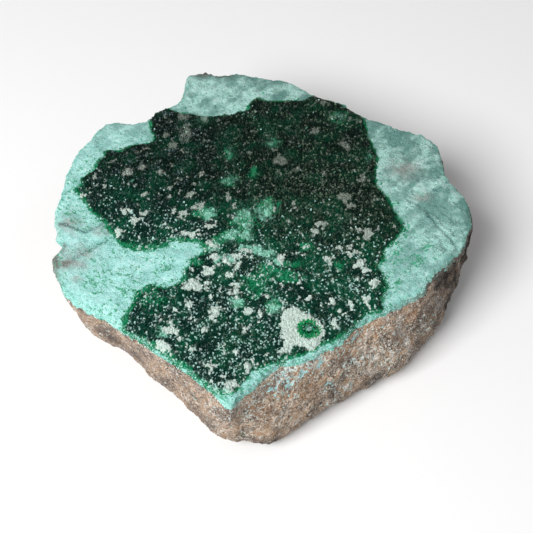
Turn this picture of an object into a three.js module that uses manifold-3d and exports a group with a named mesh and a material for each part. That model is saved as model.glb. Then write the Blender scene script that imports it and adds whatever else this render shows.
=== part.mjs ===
// Atacamite on sandstone: a hand specimen about 94 mm across and 25 mm thick.
// A broken slab of brown sandstone carries a pale green copper crust over its whole top face,
// and a druse of small dark green atacamite crystals has grown on the crust.
// Millimetres, +Z up. The slab rests on its flat underside at z = 0, and +Y points away from the viewer.
import * as THREE from "three";
import { mergeVertices } from "three/addons/utils/BufferGeometryUtils.js";
import Module from "manifold-3d";

// Driving dimensions
const STONE_TOP = 22.4; // mean height of the stone's top face
const CRUST_THICKNESS = 1.6; // pale crust, measured on its broken edge at the front
const DRUSE_THICKNESS = 1.2; // dark crystals above the crust
const SEAM = 0.3; // clearance between two layers
const CRUST_SETBACK = 0.2; // the crust ends this far inside the stone's rim
const CRUST_BEVEL = 1.0; // how far the crust's broken edge leans back
const RIM_DROP = 0.5; // the top face rounds down by this much at the rim
const ROUNDING_START = 0.94; // share of the rim's radius where that rounding begins
const COLUMNS = 120; // facets around the slab
const FACE_SHARES = [0.2, 0.42, 0.62, 0.8, ROUNDING_START]; // rings on a top face, as shares of its radius
const UNDERSIDE_TURNS = [1, 0.72, 0.4]; // rings between foot and belly, as shares of a quarter turn
const SIDE_RISES = [0, 0.35, 0.7, 1]; // rings between belly and rim, as shares of the way up

// Where the crust has chipped away at the rim: direction in degrees, half width in degrees, depth
const CHIPS = [
  [106, 5, 1.4],
];

// Rim of the stone's top face, seen from above, anticlockwise from the right
const RIM = [
  [47.4, -0.5], [47, 4.9], [45.2, 8.7], [43.6, 11.2], [42.8, 13.9], [42.5, 19.2], [41.9, 22.4], [39.3, 24.9],
  [34.9, 26.8], [31.4, 28], [28.5, 29.6], [23.6, 32.1], [19.6, 35.5], [16, 37.3], [11, 40.8], [7.5, 43.2],
  [2.2, 44.9], [-2, 45.1], [-6, 46.3], [-11.3, 46], [-13.5, 47], [-17, 46.6], [-18.9, 44.5], [-19.5, 40.5],
  [-20.2, 37.3], [-22.8, 34.5], [-26.3, 32.3], [-27.6, 30.4], [-31.4, 28.9], [-35.2, 29.4], [-39.2, 27.6],
  [-41, 24.7], [-43, 21.7], [-44.4, 18.2], [-45.8, 11.8], [-46.1, 6.5], [-47.1, 2.5], [-46.5, -1.5],
  [-45.7, -5.3], [-44.5, -8], [-46, -10.5], [-45.8, -12.5], [-44.6, -15.5], [-43, -19], [-40.8, -21.8],
  [-37, -24.3], [-34, -25.8], [-30.5, -28.7], [-27.5, -30.8], [-24, -33.1], [-19, -36.5], [-14, -40.1],
  [-10, -43.7], [-7.3, -46.6], [-6, -47.3], [-4.9, -45.4], [-2, -43.1], [0.5, -40.3], [3.5, -37.7],
  [8, -36.9], [11, -35.1], [14.8, -33.1], [17.5, -30.7], [21, -27.5], [26, -25.2], [30, -22.9], [34.5, -20.3],
  [36.3, -17.5], [39.5, -13.5], [43, -10.5], [45, -7.5], [46.8, -3.5],
];

// Widest line of the broken side: x, y and its height. It runs low at the front and high on the left.
const BELLY = [
  [47.1, -1, 12], [46.6, -6, 11], [45.3, -9.6, 8], [42, -15, 6], [35.7, -22.9, 5], [27.9, -29.8, 5],
  [20.3, -33.8, 5], [10.9, -39, 5], [5.8, -43.2, 5], [1.4, -46.3, 5], [-3.4, -45.5, 7],
  [-7.3, -46.3, 10], [-11.4, -43.8, 11], [-20.6, -35.1, 12], [-26.6, -30.4, 14], [-31.8, -25.9, 15],
  [-36.2, -23.8, 15], [-39.6, -21.3, 15.5], [-42, -17.6, 15.5], [-44, -12.6, 15], [-44.4, -3, 13],
  [-44.2, 6, 12], [-42.4, 16.8, 12], [-38, 26.5, 12], [-27, 31.5, 12], [-19.5, 40, 11], [-13, 46, 10],
  [-2, 44.8, 10], [9, 42, 10], [19.5, 35.5, 11], [31, 27.8, 11], [41.4, 20.8, 11], [43.5, 11.8, 12],
];

// Edge of the flat underside that the slab rests on
const FOOT = [
  [42, -2], [40, -9.5], [34.5, -17.5], [26, -25.5], [17.5, -30], [9.5, -35], [1.5, -41], [-3.5, -39.5],
  [-10, -36], [-17.5, -26.5], [-24.5, -16], [-30.5, -6.5], [-33, 3], [-31.5, 14], [-25, 23], [-16, 33],
  [-8, 38], [3, 38], [14, 34], [25, 27], [34, 19], [39, 10],
];

// Border of the dark druse, anticlockwise from the right, with the pale bay that cuts into it on the left
const DRUSE_BORDER = [
  [31.5, -3.1], [30.4, -0.6], [29.1, 2.9], [28.9, 4.4], [27.7, 6.4], [26.4, 8.1], [26.1, 9.8],
  [26.5, 14.7], [26.8, 17.7], [25.5, 22.5], [24.6, 27], [24.2, 29.2], [23, 30.6], [20.9, 32.5],
  [18.6, 34], [15.5, 35.8], [12.8, 37.9], [10, 36.3], [5, 36], [0.5, 35.9], [-1, 36.8], [-2, 36.3],
  [-4, 32.6], [-8, 31.2], [-12, 30.5], [-16.9, 31.1], [-19.9, 31.2], [-23.2, 32.6], [-26, 30.9],
  [-27, 28.8], [-26.4, 25.5], [-25.9, 22.4], [-29.8, 21.5], [-33.8, 19.3], [-37.1, 19.1], [-38.3, 16.2],
  [-39.8, 12.7], [-41.5, 11.1], [-42.7, 7.9], [-40.8, 5.2], [-38.3, 1.7], [-34.9, -1.5], [-32.4, -5.1],
  [-29.9, -8.1], [-25.9, -8.8], [-21.4, -7.7], [-18.9, -6.3], [-14.6, -6.9], [-12.1, -9.2],
  [-14.4, -11.2], [-16.5, -14.7], [-16.9, -18.1], [-20.9, -19.6], [-23.9, -18.4], [-26.4, -20.4],
  [-27.3, -23.8], [-29, -27.3], [-28.8, -29.8], [-28, -31.7], [-24.5, -32.4], [-20.4, -34.7],
  [-16.3, -37.5], [-12.2, -41], [-9, -43.6], [-7.6, -44.4], [-6.2, -44.4], [-4.5, -42.8], [-2.1, -39.3],
  [-0.6, -38.3], [3.7, -36.7], [10.7, -33.9], [16.5, -30.7], [19.5, -27.8], [23.5, -24.9],
  [25.4, -24.4], [25.2, -21.7], [26.6, -19], [25.9, -17.7], [26.2, -16.2], [24.5, -13.4], [26.4, -12],
  [26.9, -8.7], [29.4, -6],
];

// Radius of a closed outline as a function of the angle around the Z axis
function radiusOf(points) {
  const corners = points.map(([x, y]) => new THREE.Vector3(x, y, 0));
  const curve = new THREE.CatmullRomCurve3(corners, true, "centripetal");
  const samples = curve
    .getPoints(points.length * 8)
    .slice(1)
    .map((p) => [Math.atan2(p.y, p.x), Math.hypot(p.x, p.y)])
    .sort((a, b) => a[0] - b[0]);
  return (angle) => interpolated(samples, angle);
}

// Height of the belly line as a function of the angle
function heightOf(points) {
  const samples = points.map(([x, y, z]) => [Math.atan2(y, x), z]).sort((a, b) => a[0] - b[0]);
  return (angle) => interpolated(samples, angle);
}

// Straight-line interpolation between [angle, value] pairs on a full turn
function interpolated(samples, angle) {
  const turn = 2 * Math.PI;
  const wrapped = angle - turn * Math.floor((angle + Math.PI) / turn);
  let after = samples.findIndex(([a]) => a >= wrapped);
  if (after < 0) after = 0;
  const [a1, v1] = samples[after];
  const [a0, v0] = samples[(after + samples.length - 1) % samples.length];
  const span = (a1 - a0 + turn) % turn;
  const share = ((wrapped - a0 + turn) % turn) / span;
  return v0 + (v1 - v0) * share;
}

const rimRadius = radiusOf(RIM);
const bellyRadius = radiusOf(BELLY);
const bellyHeight = heightOf(BELLY);
const footRadius = radiusOf(FOOT);

// The first column of facets runs through the slab's pointed front corner
const [CORNER_X, CORNER_Y] = RIM.reduce((lowest, point) => (point[1] < lowest[1] ? point : lowest));
const FIRST_COLUMN = Math.atan2(CORNER_Y, CORNER_X);

// How far the crust ends inside the rim, at an angle
function crustSetback(angle) {
  const chipped = CHIPS.map(([direction, halfWidth, depth]) => {
    const fromChip = THREE.MathUtils.radToDeg(angle) - direction;
    const turned = THREE.MathUtils.euclideanModulo(fromChip + 180, 360) - 180;
    return depth * Math.exp(-((turned / halfWidth) ** 2));
  });
  return CRUST_SETBACK + chipped.reduce((sum, depth) => sum + depth, 0);
}

// Height of the bedding face above its mean: a gentle swell, and a rounding at the rim
function bedding(angle, radius) {
  const x = radius * Math.cos(angle);
  const y = radius * Math.sin(angle);
  const broad = 0.35 * Math.sin(0.085 * x + 0.6) * Math.cos(0.07 * y - 0.4);
  const narrow = 0.2 * Math.sin(0.13 * x - 0.11 * y + 1.7);
  const rounded = Math.max(0, radius / rimRadius(angle) - ROUNDING_START) / (1 - ROUNDING_START);
  return broad + narrow - RIM_DROP * rounded;
}

// A point of a layer, at an angle, a radius and a height above the mean bedding face
function layerPoint(angle, radius, height) {
  return [radius * Math.cos(angle), radius * Math.sin(angle), height + bedding(angle, radius)];
}

// Rings of a layer's face, from the middle out, inside an edge given as a radius at each angle
function faceRings(height, edgeRadius) {
  return FACE_SHARES.map((share) => (angle) => layerPoint(angle, share * edgeRadius(angle), height));
}

// Closed surface through a stack of rings, from the pole that faces down to the pole that faces up
function closedStack(lowPole, rings, highPole) {
  const positions = [...lowPole];
  for (const ring of rings) {
    for (let i = 0; i < COLUMNS; i++) positions.push(...ring(FIRST_COLUMN + (2 * Math.PI * i) / COLUMNS));
  }
  positions.push(...highPole);
  const last = rings.length * COLUMNS + 1;
  const index = [];
  for (let i = 0; i < COLUMNS; i++) {
    const j = (i + 1) % COLUMNS;
    index.push(0, 1 + j, 1 + i);
    for (let k = 0; k < rings.length - 1; k++) {
      const low = 1 + k * COLUMNS;
      const high = low + COLUMNS;
      index.push(low + i, low + j, high + j, low + i, high + j, high + i);
    }
    index.push(last - COLUMNS + i, last - COLUMNS + j, last);
  }
  const geometry = new THREE.BufferGeometry();
  geometry.setAttribute("position", new THREE.Float32BufferAttribute(positions, 3));
  geometry.setIndex(index);
  geometry.computeVertexNormals();
  return geometry;
}

// Sandstone slab: flat foot, rounded underside, broken side and bedding face
function sandstoneGeometry() {
  const underside = UNDERSIDE_TURNS.map((turned) => (angle) => {
    const lean = (turned * Math.PI) / 2;
    const radius = footRadius(angle) + (bellyRadius(angle) - footRadius(angle)) * Math.cos(lean);
    return [radius * Math.cos(angle), radius * Math.sin(angle), bellyHeight(angle) * (1 - Math.sin(lean))];
  });
  const side = SIDE_RISES.map((risen) => (angle) => {
    const rim = rimRadius(angle);
    const radius = rim + (bellyRadius(angle) - rim) * Math.sin(((1 - risen) * Math.PI) / 2);
    const height = THREE.MathUtils.lerp(bellyHeight(angle), STONE_TOP + bedding(angle, rim), risen);
    return [radius * Math.cos(angle), radius * Math.sin(angle), height];
  });
  const face = faceRings(STONE_TOP, rimRadius).reverse();
  return closedStack([0, 0, 0], [...underside, ...side, ...face], layerPoint(0, 0, STONE_TOP));
}

// Pale crust: a sheet of even thickness on the bedding face, with a leaning broken edge
function crustGeometry() {
  const bottom = STONE_TOP + SEAM;
  const top = STONE_TOP + CRUST_THICKNESS;
  const foot = (angle) => rimRadius(angle) - crustSetback(angle);
  const brow = (angle) => foot(angle) - CRUST_BEVEL;
  const rings = [
    ...faceRings(bottom, foot),
    (angle) => layerPoint(angle, foot(angle), bottom),
    (angle) => layerPoint(angle, brow(angle), top),
    ...faceRings(top, brow).reverse(),
  ];
  return closedStack(layerPoint(0, 0, bottom), rings, layerPoint(0, 0, top));
}

// Druse: a sheet on the crust, kept only inside the druse's border
async function druseGeometry() {
  const wasm = await Module();
  wasm.setup();
  const solidOf = (geometry) => {
    const bare = geometry.clone();
    bare.deleteAttribute("normal");
    bare.deleteAttribute("uv");
    const merged = mergeVertices(bare, 1e-4);
    const vertProperties = merged.attributes.position.array;
    const triVerts = new Uint32Array(merged.index.array);
    return new wasm.Manifold(new wasm.Mesh({ numProp: 3, vertProperties, triVerts }));
  };
  const bottom = STONE_TOP + CRUST_THICKNESS + SEAM;
  const top = STONE_TOP + CRUST_THICKNESS + DRUSE_THICKNESS;
  const rings = [
    ...faceRings(bottom, rimRadius),
    (angle) => layerPoint(angle, rimRadius(angle), bottom),
    (angle) => layerPoint(angle, rimRadius(angle), top),
    ...faceRings(top, rimRadius).reverse(),
  ];
  const sheet = solidOf(closedStack(layerPoint(0, 0, bottom), rings, layerPoint(0, 0, top)));
  const border = new THREE.Shape(DRUSE_BORDER.map(([x, y]) => new THREE.Vector2(x, y)));
  const cutter = new THREE.ExtrudeGeometry(border, { depth: 2 * STONE_TOP, bevelEnabled: false });
  const cut = sheet.intersect(solidOf(cutter)).getMesh();
  const geometry = new THREE.BufferGeometry();
  geometry.setAttribute("position", new THREE.BufferAttribute(cut.vertProperties, 3));
  geometry.setIndex(new THREE.BufferAttribute(cut.triVerts, 1));
  geometry.computeVertexNormals();
  return geometry;
}

function namedMesh(name, geometry, color, roughness) {
  const mesh = new THREE.Mesh(geometry, new THREE.MeshStandardMaterial({ color, roughness, metalness: 0 }));
  mesh.name = name;
  return mesh;
}

const specimen = new THREE.Group();
specimen.add(
  namedMesh("sandstone_matrix", sandstoneGeometry(), 0x8f735f, 0.92),
  namedMesh("pale_green_crust", crustGeometry(), 0x93d3bd, 0.85),
  namedMesh("atacamite_druse", await druseGeometry(), 0x12372a, 0.35),
);

export default specimen;
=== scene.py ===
# %% [markdown]
# Atacamite on sandstone
# A hand specimen: a broken slab of brown sandstone, a pale green crust of copper minerals on its top face,
# and a druse, which is a carpet of small crystals, of dark green atacamite on the crust.
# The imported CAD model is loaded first. It is the frame: every surface below is worked out from the same
# outlines in the same millimetres, so each piece lies where its CAD node lies and stands in for it.

# %% Load the frame
import itertools
import math

import bpy
import numpy as np
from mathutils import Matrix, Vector


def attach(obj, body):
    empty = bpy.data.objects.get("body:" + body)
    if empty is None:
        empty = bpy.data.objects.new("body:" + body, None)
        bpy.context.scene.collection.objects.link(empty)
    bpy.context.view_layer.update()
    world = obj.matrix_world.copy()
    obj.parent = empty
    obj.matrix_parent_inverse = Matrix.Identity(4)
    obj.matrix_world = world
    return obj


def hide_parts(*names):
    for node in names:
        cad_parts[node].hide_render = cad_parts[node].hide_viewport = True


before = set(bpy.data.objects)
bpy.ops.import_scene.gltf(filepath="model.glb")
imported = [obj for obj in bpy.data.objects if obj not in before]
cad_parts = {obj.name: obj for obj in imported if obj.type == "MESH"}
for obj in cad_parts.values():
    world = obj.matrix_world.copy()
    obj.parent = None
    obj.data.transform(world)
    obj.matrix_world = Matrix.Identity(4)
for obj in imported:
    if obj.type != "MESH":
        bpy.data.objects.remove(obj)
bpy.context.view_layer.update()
MM = 0.001  # the specimen's sizes are in millimetres, Blender's and the stage's are in metres
SANDSTONE = ("sandstone_matrix", "sandstone")  # CAD node and paint slot of each layer
CRUST = ("pale_green_crust", "pale_crust")
DRUSE = ("atacamite_druse", "atacamite")

# %% [markdown]
# The slab's outlines
# A broken stone has no formula, but it has three lines that hold its shape: the rim of its top face, the
# widest line of its broken side, and the edge of the flat underside that it rests on. All three go round the
# Z axis once, so each can be read as a radius that depends on the direction, and a surface between them
# is a function of two numbers: the direction, and how far up the side a point is.

# %% Outlines seen from above, anticlockwise from the right, in millimetres
RIM = np.array([
    (47.4, -0.5), (47, 4.9), (45.2, 8.7), (43.6, 11.2), (42.8, 13.9), (42.5, 19.2), (41.9, 22.4),
    (39.3, 24.9), (34.9, 26.8), (31.4, 28), (28.5, 29.6), (23.6, 32.1), (19.6, 35.5), (16, 37.3),
    (11, 40.8), (7.5, 43.2), (2.2, 44.9), (-2, 45.1), (-6, 46.3), (-11.3, 46), (-13.5, 47), (-17, 46.6),
    (-18.9, 44.5), (-19.5, 40.5), (-20.2, 37.3), (-22.8, 34.5), (-26.3, 32.3), (-27.6, 30.4),
    (-31.4, 28.9), (-35.2, 29.4), (-39.2, 27.6), (-41, 24.7), (-43, 21.7), (-44.4, 18.2), (-45.8, 11.8),
    (-46.1, 6.5), (-47.1, 2.5), (-46.5, -1.5), (-45.7, -5.3), (-44.5, -8), (-46, -10.5), (-45.8, -12.5),
    (-44.6, -15.5), (-43, -19), (-40.8, -21.8), (-37, -24.3), (-34, -25.8), (-30.5, -28.7), (-27.5, -30.8),
    (-24, -33.1), (-19, -36.5), (-14, -40.1), (-10, -43.7), (-7.3, -46.6), (-6, -47.3), (-4.9, -45.4),
    (-2, -43.1), (0.5, -40.3), (3.5, -37.7), (8, -36.9), (11, -35.1), (14.8, -33.1), (17.5, -30.7),
    (21, -27.5), (26, -25.2), (30, -22.9), (34.5, -20.3), (36.3, -17.5), (39.5, -13.5), (43, -10.5),
    (45, -7.5), (46.8, -3.5),
])
BELLY = np.array([  # the third number is the height of the widest line
    (47.1, -1, 12), (46.6, -6, 11), (45.3, -9.6, 8), (42, -15, 6), (35.7, -22.9, 5), (27.9, -29.8, 5),
    (20.3, -33.8, 5), (10.9, -39, 5), (5.8, -43.2, 5), (1.4, -46.3, 5), (-3.4, -45.5, 7),
    (-7.3, -46.3, 10), (-11.4, -43.8, 11), (-20.6, -35.1, 12), (-26.6, -30.4, 14), (-31.8, -25.9, 15),
    (-36.2, -23.8, 15), (-39.6, -21.3, 15.5), (-42, -17.6, 15.5), (-44, -12.6, 15), (-44.4, -3, 13),
    (-44.2, 6, 12), (-42.4, 16.8, 12), (-38, 26.5, 12), (-27, 31.5, 12), (-19.5, 40, 11), (-13, 46, 10),
    (-2, 44.8, 10), (9, 42, 10), (19.5, 35.5, 11), (31, 27.8, 11), (41.4, 20.8, 11), (43.5, 11.8, 12),
])
FOOT = np.array([
    (42, -2), (40, -9.5), (34.5, -17.5), (26, -25.5), (17.5, -30), (9.5, -35), (1.5, -41), (-3.5, -39.5),
    (-10, -36), (-17.5, -26.5), (-24.5, -16), (-30.5, -6.5), (-33, 3), (-31.5, 14), (-25, 23), (-16, 33),
    (-8, 38), (3, 38), (14, 34), (25, 27), (34, 19), (39, 10),
])
STONE_TOP = 22.4
CRUST_THICKNESS = 1.6
CRUST_SETBACK = 0.2
CRUST_BEVEL = 1.0
RIM_DROP = 0.5
ROUNDING_START = 0.94
CHIPS = ((106, 5, 1.4),)  # direction and half width in degrees, depth

# %% From an outline to a radius


def rounded_outline(points, steps=8):
    """A closed curve through the points: between two of them it is a cubic whose end directions come from
    the neighbours, each span weighted by the square root of its length (a centripetal Catmull-Rom curve)."""
    before, start, end, after = (np.roll(points, k, axis=0)[:, None] for k in (1, 0, -1, -2))
    d0, d1, d2 = (np.sqrt(np.linalg.norm(b - a, axis=2, keepdims=True))
                  for a, b in ((before, start), (start, end), (end, after)))
    leave = d1 * ((start - before) / d0 - (end - before) / (d0 + d1) + (end - start) / d1)
    arrive = d1 * ((end - start) / d1 - (after - start) / (d1 + d2) + (after - end) / d2)
    t = (np.arange(steps) / steps)[None, :, None]
    cubic = (2 * t**3 - 3 * t**2 + 1) * start + (t**3 - 2 * t**2 + t) * leave
    cubic += (3 * t**2 - 2 * t**3) * end + (t**3 - t**2) * arrive
    return cubic.reshape(-1, 2)


def polar(points):
    """Direction of points from the Z axis and their distance from it."""
    return np.arctan2(points[..., 1], points[..., 0]), np.hypot(points[..., 0], points[..., 1])


def around(points, values):
    """A function of the direction: straight-line interpolation of the values at their points' directions."""
    directions, _ = polar(points)
    return lambda angle: np.interp(angle, directions, values, period=2 * np.pi)


def radius_of(points):
    """The outline's distance from the Z axis as a function of the direction."""
    curve = rounded_outline(points)
    return around(curve, polar(curve)[1])


rim_radius = radius_of(RIM)
belly_radius = radius_of(BELLY[:, :2])
foot_radius = radius_of(FOOT)
belly_height = around(BELLY, BELLY[:, 2])
print("rim radius, mm:", rim_radius(np.radians([0, 90, 180, 270])).round(1))

# %% [markdown]
# Roughness made of noise
# Broken rock is rough at every scale. Blender has noise textures, but a texture only shades: here the
# relief has to be in the mesh, so the noise is worked out for whole arrays of points. Random numbers are
# hung on the corners of a lattice by mixing the corner's whole-number coordinates, so the same point
# always gets the same number, and nothing depends on a random seed that could change.

# %% Noise for arrays of points


def hashed(corner, seed):
    """A repeatable number from 0 to 1 for a lattice corner: its coordinates are multiplied by large odd
    numbers and mixed by shifts and exclusive-or."""
    x, y, z = np.moveaxis(corner, -1, 0)
    mixed = x * 73856093 ^ y * 19349663 ^ z * 83492791 ^ seed * 2654435761
    mixed = mixed.astype(np.uint32)
    mixed = (mixed ^ mixed >> 16) * np.uint32(0x7FEB352D)
    mixed = (mixed ^ mixed >> 15) * np.uint32(0x846CA68B)
    return (mixed ^ mixed >> 16) / 4294967295


def noise(points, size, seed=0):
    """Smooth noise from -1 to 1: a random slope at each corner of a lattice of the given cell size, blended
    across the cell with the curve 6t^5 - 15t^4 + 10t^3."""
    place = points / size + 0.37 * seed
    corner = np.floor(place).astype(np.int64)
    inside = place - corner
    ease = inside**3 * (inside * (6 * inside - 15) + 10)
    total = 0
    for step in itertools.product((0, 1), repeat=3):
        share = np.prod(np.where(step, ease, 1 - ease), axis=-1)
        slope = np.stack([hashed(corner + step, seed * 3 + k) for k in range(3)], axis=-1) * 2 - 1
        total = total + share * np.sum(slope * (inside - step), axis=-1)
    return 1.5 * total


def rough(points, size, octaves=3, seed=0):
    """Noise of the given size plus noise of half the size and half the height, and so on."""
    return sum(noise(points, size / 2**k, seed + k) / 2**k for k in range(octaves))


def nearest_cells(points, size, seed=0):
    """For one random point in each lattice cell: the distance to the nearest, to the second nearest, and
    a random number that belongs to the nearest. Distances are in cell sizes."""
    place = points / size
    home = np.floor(place).astype(np.int64)
    first = np.full(len(points), 9.0)
    second = first.copy()
    owner = np.zeros(len(points))
    for step in itertools.product((-1, 0, 1), repeat=3):
        cell = home + step
        centre = cell + np.stack([hashed(cell, seed * 5 + k) for k in range(3)], axis=-1)
        gap = np.linalg.norm(place - centre, axis=-1)
        closer = gap < first
        second = np.where(closer, first, np.minimum(second, gap))
        owner = np.where(closer, hashed(cell, seed * 5 + 4), owner)
        first = np.where(closer, gap, first)
    return first, second, owner

# %% Steps, bells and points


def smooth_step(value, low, high):
    """0 below low, 1 above high, and an S-curve between."""
    t = np.clip((value - low) / (high - low), 0, 1)
    return t * t * (3 - 2 * t)


def xyz(x, y, z):
    """Points from their coordinates, which are arrays or single numbers."""
    return np.stack(np.broadcast_arrays(x, y, z), axis=-1)


def towards(angle, direction, half_width):
    """A bell over directions: 1 at the given one in degrees, a third at its half width to either side."""
    off = (np.degrees(angle) - direction + 180) % 360 - 180
    return np.exp(-((off / half_width) ** 2))


def flat(x, y):
    """Points of a plane, for noise that only depends on x and y."""
    return xyz(x, y, 0.0)


# %% [markdown]
# From arrays to a mesh
# A closed skin is built from one disc and a stack of rings. The disc is a square grid pushed out to a
# circle, so its cells stay about the same size everywhere, and the rings run on from its edge round the
# side and back to a single point on the far side. Every edge has two faces, so the skin has no hole.

# %% Disc and rings


def disc_grid(cells):
    """A square grid of points pushed out to a unit disc: each square around the centre becomes a circle.
    Gives the share of the radius and the direction of every point, as two square arrays."""
    side = np.linspace(-1, 1, cells + 1)
    u, v = np.meshgrid(side, side)
    share = np.maximum(np.abs(u), np.abs(v))
    wide = np.abs(u) >= np.abs(v)
    safe = np.where(share == 0, 1, np.where(wide, u, v))
    slant = np.pi / 4 * np.where(wide, v, u) / safe
    angle = np.where(wide, slant, np.pi / 2 - slant) + np.where(np.where(wide, u, v) < 0, np.pi, 0)
    return share, angle


def ring_angles(cells):
    """Directions of the disc's edge points, in the order in which disc_edge() lists them."""
    return -3 * np.pi / 4 + np.arange(4 * cells) * np.pi / 2 / cells


def disc_edge(cells):
    """Numbers of the grid's edge points, anticlockwise from its low left corner."""
    number = np.arange((cells + 1) ** 2).reshape(cells + 1, cells + 1)
    return np.concatenate([number[0, :-1], number[:-1, -1], number[-1, :0:-1], number[:0:-1, 0]])

# %% Closed skin


def strip(low, high):
    """Triangles between two closed rows of point numbers of the same length."""
    low_next, high_next = np.roll(low, -1), np.roll(high, -1)
    return np.concatenate([np.stack([low, high, high_next], 1), np.stack([low, high_next, low_next], 1)])


def closed_skin(disc, rings, pole):
    """Points and triangles of a closed skin: a disc that faces up, rings that run on outwards and down from
    its edge, and the pole underneath where they close."""
    cells = disc.shape[0] - 1
    number = np.arange(disc.shape[0] ** 2).reshape(disc.shape[:2])
    a, b, c, d = (number[i, j].ravel() for i, j in ((np.s_[:-1], np.s_[:-1]), (np.s_[:-1], np.s_[1:]),
                                                    (np.s_[1:], np.s_[1:]), (np.s_[1:], np.s_[:-1])))
    triangles = [np.stack([a, b, c], 1), np.stack([a, c, d], 1)]
    rows = [disc_edge(cells)]
    rows += [number.size + k * 4 * cells + np.arange(4 * cells) for k in range(len(rings))]
    triangles += [strip(low, high) for low, high in zip(rows[:-1], rows[1:])]
    last = rows[-1]
    pole_number = np.full_like(last, number.size + rings[..., 0].size)
    triangles.append(np.stack([last, pole_number, np.roll(last, -1)], 1))
    points = np.concatenate([disc.reshape(-1, 3), rings.reshape(-1, 3), np.reshape(pole, (1, 3))])
    return points, np.concatenate(triangles)

# %% From points to an object


def make_piece(name, layer, finish, points, triangles, smooth=True, **numbers):
    """A mesh object in metres from points in millimetres. It rides on the one body, stands in for its
    layer's CAD node, and carries the given numbers as attributes of its points."""
    mesh = bpy.data.meshes.new(name)
    mesh.vertices.add(len(points))
    mesh.vertices.foreach_set("co", (points * MM).astype(np.float32).ravel())
    mesh.loops.add(triangles.size)
    mesh.loops.foreach_set("vertex_index", triangles.astype(np.int32).ravel())
    mesh.polygons.add(len(triangles))
    mesh.polygons.foreach_set("loop_start", np.arange(0, triangles.size, 3, dtype=np.int32))
    mesh.polygons.foreach_set("use_smooth", np.full(len(triangles), smooth))
    mesh.update(calc_edges=True)
    for attribute_name, values in numbers.items():
        kind, field = ("FLOAT", "value") if values.ndim == 1 else ("FLOAT_COLOR", "color")
        attribute = mesh.attributes.new(attribute_name, kind, "POINT")
        attribute.data.foreach_set(field, values.astype(np.float32).ravel())
    mesh.materials.append(finish)
    piece = bpy.data.objects.new(name, mesh)
    bpy.context.scene.collection.objects.link(piece)
    node, slot = layer
    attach(piece, "root")
    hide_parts(node)
    print(name, len(triangles), "triangles, size mm", np.ptp(points, axis=0).round(1))


# %% [markdown]
# Materials as sums
# A shader is a graph of nodes, but its maths reads best as sums. The class Wire wraps one output of a
# node, and + - * / on it add the Math nodes. Finish makes one material, and its method node() adds
# any other node from its type, its settings and its sockets. Patterns read Object coordinates in
# millimetres, so they go through the stone from side to top with no seam.

# %% Wire


class Wire:
    """One output of a shader node, with the arithmetic operators."""

    def __init__(self, finish, socket):
        self.finish = finish
        self.socket = socket

    def math(self, operation, *others, clamp=False):
        """The Math node with this operation on this wire and the others."""
        sockets = dict(enumerate((self, *others)))
        return self.finish.node("ShaderNodeMath", {"operation": operation, "use_clamp": clamp}, sockets)

    def __add__(self, other):
        return self.math("ADD", other)

    __radd__ = __add__

    def __sub__(self, other):
        return self.math("SUBTRACT", other)

    def __rsub__(self, other):
        return (self * -1) + other

    def __mul__(self, other):
        return self.math("MULTIPLY", other)

    __rmul__ = __mul__

    def __truediv__(self, other):
        return self.math("DIVIDE", other)

    def clamped(self):
        """The same value held between 0 and 1."""
        return self.math("ADD", 0.0, clamp=True)

    def between(self, low, high):
        """0 below low, 1 above high, and a straight slope between."""
        return ((self - low) / (high - low)).clamped()

# %% Finish


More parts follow.
